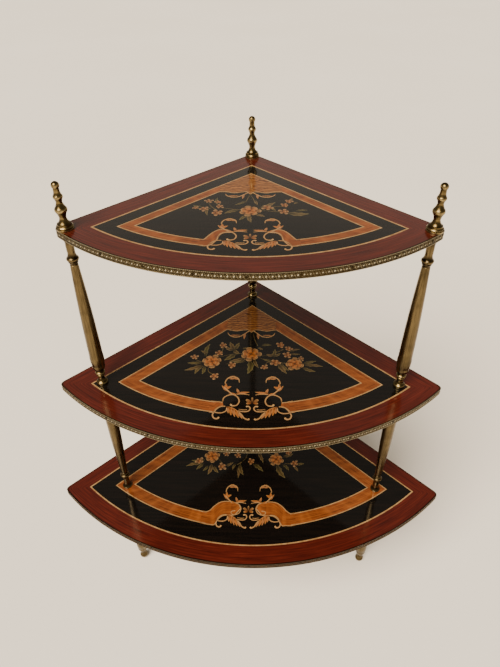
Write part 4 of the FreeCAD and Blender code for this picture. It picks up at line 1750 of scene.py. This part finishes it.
@dataclass
class EmbossedTrim:
    """Brass strip round a shelf's front arc and tips, embossed with a running pattern.

    Attributes:
        shelf: the shelf that it runs round.
        thickness: from the crests to the strip's back.
        relief: depth of the hollows.
        column_step: distance between two places along the strip.
        rows: places from its lower to its upper edge.
        repeat: length of one repeat of the pattern.
        leaf_slope: how steeply the leaves cross the middle line.
        lean: how far the pattern leans along the strip.
        smooth_angle: edges sharper than this many degrees stay sharp.
    """

    shelf: Shelf
    thickness: float = 1.6
    relief: float = 0.7
    column_step: float = 0.38
    rows: int = 25
    repeat: float = 5.0
    bead_radius: float = 1.05
    ring_radius: float = 1.95
    ring_width: float = 0.30
    ring_height: float = 0.55
    leaf_reach: float = 1.2
    leaf_width: float = 0.30
    leaf_height: float = 0.6
    leaf_slope: float = 1.5
    stud_radius: float = 0.45
    lip_start: float = 2.55
    lip_blend: float = 0.4
    lip_height: float = 0.45
    lip_bead_step: float = 1.6
    lip_bead_height: float = 0.3
    lean: float = 0.4
    smooth_angle: float = 60.0

    def outline(self) -> tuple[Array, Array, Array]:
        """Places along the trim's outer edge, from the right side to the left side.

        The tips are arcs about their own centres and the front is one arc about the back
        corner, so the outward direction turns evenly along each.

        Returns:
            Places, outward directions and distances run.
        """
        shelf = self.shelf
        tip_round = shelf.tip_round
        tip_angle, (tip_x, tip_y) = shelf.tip_centre(0, 0, tip_round)
        tip_count = int(tip_round * (QUARTER + tip_angle) / self.column_step)
        front_length = shelf.side * (math.pi - 2 * tip_angle)
        front_count = int(front_length / self.column_step)
        tip = np.linspace(QUARTER, -tip_angle, tip_count, endpoint=False)
        front = np.linspace(-tip_angle, tip_angle - math.pi, front_count)
        last = np.linspace(tip_angle - math.pi, -math.pi - QUARTER, tip_count + 1)[1:]
        angle = np.concatenate([tip, front, last])
        outward = np.stack([np.cos(angle), np.sin(angle)], axis=-1)
        centre_x = np.concatenate([np.full(tip_count, tip_x), np.zeros(front_count),
                                   np.full(tip_count, -tip_x)])
        at_tip = centre_x != 0
        centre_y = np.where(at_tip, tip_y, 0)
        radius = np.where(at_tip, tip_round, shelf.side)
        places = np.stack([centre_x, centre_y], axis=-1) + radius[:, None] * outward
        run = distances(places)
        return places, outward, run - run[-1] / 2

    def height(self, run: Array, rise: Array) -> Array:
        """Height of the embossing, from 0 in the hollows to 1 on the crests.

        Each repeat has a round bead in a ring, and a stud where two leaves cross. Bead
        and stud are domes, and rings and leaves are bell-shaped ridges. The lips rise
        evenly and carry small beads. The highest of them counts. The pattern between the
        lips leans along the strip.

        Args:
            run: distance along the trim.
            rise: distance above its middle.

        Returns:
            The heights, one for each place.
        """
        leaned = run + self.lean * rise
        near = np.abs(np.mod(leaned + self.repeat / 2, self.repeat) - self.repeat / 2)
        far = self.repeat / 2 - near
        bead = np.sqrt(np.clip(1 - (near ** 2 + rise ** 2) / self.bead_radius ** 2, 0, 1))
        ring_gap = np.hypot(near, rise) - self.ring_radius
        ring = self.ring_height * np.exp(-(ring_gap / self.ring_width) ** 2)
        stud = np.sqrt(np.clip(1 - (far ** 2 + rise ** 2) / self.stud_radius ** 2, 0, 1))
        leaf_gap = np.abs(rise) - self.leaf_slope * far
        leaf = self.leaf_height * np.exp(-(leaf_gap / self.leaf_width) ** 2)
        leaf = leaf * (far < self.leaf_reach)
        lip = np.clip((np.abs(rise) - self.lip_start) / self.lip_blend, 0, 1)
        lip_beads = np.abs(np.cos(math.pi * run / self.lip_bead_step))
        beading = self.lip_height + self.lip_bead_height * lip_beads
        return np.maximum.reduce([bead, ring, stud, leaf, lip * beading])

    def build(self) -> None:
        """Wrap a closed cross-section along the outline, its front face embossed."""
        places, outward, run = self.outline()
        half = (self.shelf.top - self.shelf.base) / 2
        rise = np.linspace(-half, half, self.rows)
        height = self.height(run[:, None], rise[None, :])
        inset = self.relief * (1 - height)
        back = np.full((len(run), 2), self.thickness)
        inset = np.concatenate([inset, back], axis=1)
        level = np.concatenate([rise, [half, -half]]) + half + self.shelf.base
        flat = places[:, None] - outward[:, None] * inset[..., None]
        flat[..., 1] += self.shelf.corner_y
        levels = np.broadcast_to(level[None, :, None], flat.shape[:2] + (1,))
        points = np.concatenate([flat, levels], axis=-1)
        index = np.arange(points.shape[0] * points.shape[1]).reshape(points.shape[:2])
        around = np.concatenate([index, index[:, :1]], axis=1)
        tint = np.concatenate([height, np.zeros((len(run), 2))], axis=1).ravel()
        grain = np.stack(np.broadcast_arrays(run[:, None], level[None, :]), -1) * MM
        skin = Skin(points.reshape(-1, 3), grid_faces(around), grain.reshape(-1, 2), tint)
        # The bottom shelf's trim gets the darker brass, painted shade near the floor
        finish = SHADED_FLOOR_BRASS if self.shelf.name == "bottom" else EMBOSSED_BRASS
        piece(self.shelf.name + "_embossed_trim", [skin], finish,
              [self.shelf.name + "_edge_trim"],
              smooth_angle=self.smooth_angle, weld=True)


# Turned outlines, from the bored end outwards. Each row is the height share, the share of
# the projection that stands out there, and the arc's rise as a share of its chord.

Outline = tuple[tuple[float, float, float], ...]

NECK_COLLAR_SHARES: Outline = (
    (0.00, 1.00, 0), (0.05, 1.00, 0), (0.30, 0.18, -0.12), (0.52, 0.17, 0),
    (0.72, 0.52, -0.08), (0.735, 0.64, 0), (0.85, 0.64, 0.24), (0.865, 0.33, 0),
    (0.93, 0.33, 0.25), (0.96, 0.22, 0), (1.00, 0.22, 0),
)
BASE_COLLAR_SHARES: Outline = (
    (0.00, 0.95, 0), (0.05, 0.95, 0), (0.20, 0.72, 0.22), (0.23, 0.45, 0),
    (0.45, 0.03, -0.12), (0.55, 0.03, 0), (0.62, 0.30, -0.05), (0.70, 0.30, 0.25),
    (0.73, 0.12, 0), (0.76, 0.45, 0), (0.90, 0.45, 0.28), (0.93, 0.20, 0),
    (1.00, 0.20, 0),
)
SHAFT_SHARES: Outline = (
    (0.00, 0.17, 0), (0.83, 1.00, 0.006), (0.94, 0.86, 0.04), (1.00, 0.28, 0.12),
)
FINIAL_SHARES: Outline = (
    (0.00, 1.00, 0), (0.03, 1.00, 0), (0.038, 0.92, 0), (0.055, 0.93, 0),
    (0.07, 0.98, 0), (0.085, 0.90, 0), (0.095, 0.83, 0), (0.125, 0.82, 0),
    (0.132, 0.72, 0), (0.255, 0.41, -0.10), (0.385, 0.68, -0.06), (0.455, 0.67, 0.12),
    (0.576, 0.36, -0.06), (0.665, 0.52, -0.06), (0.72, 0.50, 0.15), (0.80, 0.36, -0.06),
    (0.867, 0.35, 0), (1.00, 0.05, 0.31),
)
FOOT_SHARES: Outline = (
    (0.00, 0.75, 0), (0.03, 0.81, 0), (0.09, 0.81, 0), (0.12, 0.75, 0),
    (0.16, 0.64, 0), (0.38, 0.54, -0.08), (0.44, 0.64, 0), (0.57, 0.90, 0),
    (0.81, 0.90, 0.13), (0.98, 0.62, 0), (1.00, 0.56, 0),
)


@dataclass(frozen=True)
class Turning:
    """One pattern of turned brass, revolved about its own axis.

    Attributes:
        shares: its outline.
        inner_radius: radius where the outline's projection is nothing.
        projection: how far a share of one stands out from there.
        bore_radius: radius of the bore.
        bore_depth: depth of a blind bore, or None where it runs right through.
        arc_samples: places along each arc of the outline.
        segments: places round the axis.
        ease: how much each end's edge is taken off.
        blunt_radius: an end narrower than this keeps its edge.
        hollow_window: how far along the axis a place looks for wider neighbours.
        hollow_depth: this far inside them, it counts as a full hollow.
        hollow_tint: finish value in a hollow.
        crest_tint: what a crest adds to it.
        smooth_angle: edges sharper than this many degrees stay sharp.
    """

    shares: Outline
    inner_radius: float
    projection: float
    bore_radius: float
    bore_depth: float | None = None
    finish: AgedBrass = TURNED_BRASS
    arc_samples: int = 8
    segments: int = 56
    ease: float = 0.18
    blunt_radius: float = 1.0
    hollow_window: float = 2.2
    hollow_depth: float = 1.1
    hollow_tint: float = 0.35
    crest_tint: float = 0.5
    smooth_angle: float = 32.0

    def bowed(self, first: Array, last: Array, rise_share: float) -> Array:
        """Places on the arc that ends a row, the first of them left out.

        With half a chord h and a rise s, the half angle is twice the arctangent of s over
        h. A place runs h sin(a) / sin(half angle) along, and stands out by the rise times
        (cos a - cos half) / (1 - cos half).

        Args:
            first: radius and height at the start.
            last: radius and height at the end.
            rise_share: the rise as a share of the chord, outwards where positive.

        Returns:
            The places as radius and height.
        """
        if rise_share == 0:
            return last[None, :]
        chord = last - first
        outwards = np.array([chord[1], -chord[0]])
        half = 2 * math.atan(2 * abs(rise_share))
        angle = np.linspace(-half, half, self.arc_samples + 1)[1:, None]
        along = np.sin(angle) / math.sin(half)
        out = rise_share * (np.cos(angle) - math.cos(half)) / (1 - math.cos(half))
        return (first + last) / 2 + chord * along / 2 + outwards * out

    def profile(self, length: float) -> Array:
        """Outer line of the turning with its end edges eased.

        Args:
            length: the piece's length.

        Returns:
            Radius and height, from the bored end on.
        """
        rows = [np.array([self.inner_radius + out * self.projection, high * length])
                for high, out, _ in self.shares]
        line = [rows[0][None, :] - (self.ease, 0), rows[0][None, :] + (0, self.ease)]
        for first, last, row in zip(rows, rows[1:], self.shares[1:]):
            line.append(self.bowed(first, last, row[2]))
        outer = np.concatenate(line)
        if outer[-1, 0] > self.blunt_radius:
            outer[-1, 1] -= self.ease
            outer = np.vstack([outer, outer[-1] + (-self.ease, self.ease)])
        return outer

    def lathe(self, x: float, y: float, base: float, length: float, inverted: bool) -> Skin:
        """Revolve the closed outline, its bore included, about the post's axis.

        Args:
            x: where the axis stands.
            y: where the axis stands.
            base: height of the piece's lower end.
            length: its length.
            inverted: whether the bored end is on top.

        Returns:
            The piece, whose tint falls where it is hollower than its surroundings.
        """
        outer = self.profile(length)
        if self.bore_depth is None:
            inner = np.array([[self.bore_radius, length], [self.bore_radius, 0.0]])
        else:
            inner = np.array([[0, length], [0, self.bore_depth],
                              [self.bore_radius, self.bore_depth], [self.bore_radius, 0]])
        apart = np.abs(outer[:, None, 1] - outer[None, :, 1])
        widest = np.where(apart < self.hollow_window, outer[None, :, 0], 0).max(axis=1)
        crest = np.clip(1 - (widest - outer[:, 0]) / self.hollow_depth, 0, 1)
        loop = np.vstack([outer, inner])
        tint = np.concatenate([self.hollow_tint + self.crest_tint * crest,
                               np.zeros(len(inner))])
        high = length - loop[:, 1] if inverted else loop[:, 1]
        angle = np.linspace(0, FULL_TURN, self.segments, endpoint=False)[None, :]
        radius = loop[:, :1]
        points = np.stack(np.broadcast_arrays(
            x + radius * np.cos(angle), y + radius * np.sin(angle), base + high[:, None]), -1)
        index = np.arange(len(loop) * self.segments).reshape(len(loop), self.segments)
        closed = np.vstack([index, index[:1]])
        closed = np.concatenate([closed, closed[:, :1]], axis=1)
        grain = np.stack(np.broadcast_arrays(angle / FULL_TURN, high[:, None] * MM), -1)
        return Skin(points.reshape(-1, 3), grid_faces(closed), grain.reshape(-1, 2),
                    np.repeat(tint, self.segments))


NECK_RADIUS = 3.2
SLEEVE_BORE = 2.2
THREAD_BORE = 2.05
THREAD_DEPTH = 7.5
NECK_COLLAR = Turning(NECK_COLLAR_SHARES, inner_radius=NECK_RADIUS, projection=2.7,
                      bore_radius=SLEEVE_BORE, finish=SLEEVE_BRASS)
BASE_COLLAR = Turning(BASE_COLLAR_SHARES, inner_radius=NECK_RADIUS, projection=2.8,
                      bore_radius=SLEEVE_BORE)
SHAFT = Turning(SHAFT_SHARES, inner_radius=NECK_RADIUS, projection=3.8,
                bore_radius=SLEEVE_BORE, finish=SLEEVE_BRASS)
FINIAL = Turning(FINIAL_SHARES, inner_radius=0.0, projection=7.6, bore_radius=THREAD_BORE,
                 bore_depth=THREAD_DEPTH)
# The feet take the darker brass as painted shade under the bottom shelf
FOOT = Turning(FOOT_SHARES, inner_radius=0.0, projection=5.7, bore_radius=THREAD_BORE,
               bore_depth=THREAD_DEPTH, finish=SLEEVE_BRASS)


@dataclass(frozen=True)
class Post:
    """One post: turned sleeves stacked on a tie rod, with a foot and a finial.

    Attributes:
        name: left, right or back.
        stack: from the floor up, each node's suffix, its turning and whether it is
            turned over, its bored end on top.
    """

    name: str
    stack: tuple[tuple[str, Turning, bool], ...] = (
        ("foot", FOOT, True),
        ("leg_shaft", SHAFT, True),
        ("leg_collar", BASE_COLLAR, True),
        ("lower_neck_collar", NECK_COLLAR, False),
        ("lower_shaft", SHAFT, False),
        ("lower_base_collar", BASE_COLLAR, True),
        ("upper_base_collar", BASE_COLLAR, False),
        ("upper_shaft", SHAFT, True),
        ("upper_neck_collar", NECK_COLLAR, True),
        ("finial", FINIAL, False),
    )

    def build(self) -> None:
        """Turn every piece between the heights that its CAD node has."""
        for suffix, turning, inverted in self.stack:
            node = self.name + "_" + suffix
            low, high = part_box(node)
            middle = (low + high) / 2 / MM
            skin = turning.lathe(middle.x, middle.y, low.z / MM, (high.z - low.z) / MM,
                                 inverted)
            piece("turned_" + node, [skin], turning.finish, [node],
                  smooth_angle=turning.smooth_angle, weld=True)
        dress_node(self.name + "_tie_rod", STEEL)


@dataclass(frozen=True)
class Studio:
    """Floor, soft lights and the camera at the photograph's viewing angle."""

    floor_reach: float = 30000.0
    floor_gap: float = 0.2
    eye: tuple[float, float, float] = (11.1, -486.9, 776.2)
    tilt_down: float = 0.68325
    turn: float = -0.02503
    roll: float = -0.006816
    lens: float = 29.65
    sensor: float = 36.0
    clip_near: float = 10.0
    clip_far: float = 60000.0
    sky: str = "#f3e6d2"
    low_strength: float = 0.52
    high_strength: float = 0.16
    low_rise: float = 0.34
    high_rise: float = 0.86
    sun_from: tuple[float, float, float] = (-0.45, -0.75, 1.0)
    sun_spread: float = 0.7
    sun_strength: float = 7.6
    sun_colour: str = "#fff2e2"

    def lay_floor(self) -> None:
        """One large flat floor under the feet."""
        reach = self.floor_reach * MM / 2
        mesh = bpy.data.meshes.new("floor")
        corners = [(-reach, -reach), (reach, -reach), (reach, reach), (-reach, reach)]
        mesh.from_pydata([(x, y, -self.floor_gap * MM) for x, y in corners], [],
                         [(0, 1, 2, 3)])
        mesh.materials.append(FLOOR.make())
        floor = bpy.data.objects.new("floor", mesh)
        bpy.context.scene.collection.objects.link(floor)

    def set_lights(self) -> None:
        """Pale surroundings, darker overhead, and one broad soft light from the left."""
        world = bpy.data.worlds.new("pale_studio")
        world.use_nodes = True
        tree = world.node_tree
        tree.nodes.clear()
        way = add(tree, "ShaderNodeTexCoord")
        parts = add(tree, "ShaderNodeSeparateXYZ", {"Vector": way.outputs["Generated"]})
        strength = add(tree, "ShaderNodeMapRange", {
            "Value": parts.outputs[2], "From Min": self.low_rise,
            "From Max": self.high_rise, "To Min": self.low_strength,
            "To Max": self.high_strength})
        glow = add(tree, "ShaderNodeBackground", {
            "Color": linear(self.sky), "Strength": strength.outputs[0]})
        add(tree, "ShaderNodeOutputWorld", {"Surface": glow.outputs[0]})
        bpy.context.scene.world = world
        light = bpy.data.lights.new("broad_light", "SUN")
        light.angle = self.sun_spread
        light.energy = self.sun_strength
        light.color = linear(self.sun_colour)[:3]
        sun = bpy.data.objects.new("broad_light", light)
        away = np.array(self.sun_from) / np.linalg.norm(self.sun_from)
        side = np.cross((0, 0, 1), away)
        side = side / np.linalg.norm(side)
        turned = np.eye(4)
        turned[:3, :3] = np.stack([side, np.cross(away, side), away], axis=-1)
        sun.matrix_world = Matrix(turned.tolist())
        bpy.context.scene.collection.objects.link(sun)

    def set_camera(self) -> None:
        """Camera at the fitted eye, looking down at the shelves."""
        lens = bpy.data.cameras.new("eye")
        lens.lens = self.lens
        lens.sensor_width = self.sensor
        lens.clip_start = self.clip_near * MM
        lens.clip_end = self.clip_far * MM
        forward = np.array([math.sin(self.turn) * math.cos(self.tilt_down),
                            math.cos(self.turn) * math.cos(self.tilt_down),
                            -math.sin(self.tilt_down)])
        level = np.array([math.cos(self.turn), -math.sin(self.turn), 0.0])
        upright = np.cross(level, forward)
        right = level * math.cos(self.roll) + upright * math.sin(self.roll)
        up = upright * math.cos(self.roll) - level * math.sin(self.roll)
        turned = np.eye(4)
        turned[:3, :3] = np.stack([right, up, -forward], axis=-1)
        turned[:3, 3] = np.array(self.eye) * MM
        camera = bpy.data.objects.new("eye", lens)
        camera.matrix_world = Matrix(turned.tolist())
        bpy.context.scene.collection.objects.link(camera)
        bpy.context.scene.camera = camera

    def build(self) -> None:
        """Set up the floor, the lights and the camera."""
        self.lay_floor()
        self.set_lights()
        self.set_camera()


def main() -> None:
    """Build the shelves, the posts and the studio, and report each piece."""
    logging.basicConfig(level=logging.INFO, format="%(message)s")
    for name, pattern in MARQUETRY.items():
        tip_round = EDGES.top_tip_round if name == "top" else EDGES.lower_tip_round
        Shelf(name, pattern, tip_round).build()
    for name in ("left", "right", "back"):
        Post(name).build()
    dress_node("trim_pins", EMBOSSED_BRASS)
    Studio().build()


if __name__ == "__main__":
    main()
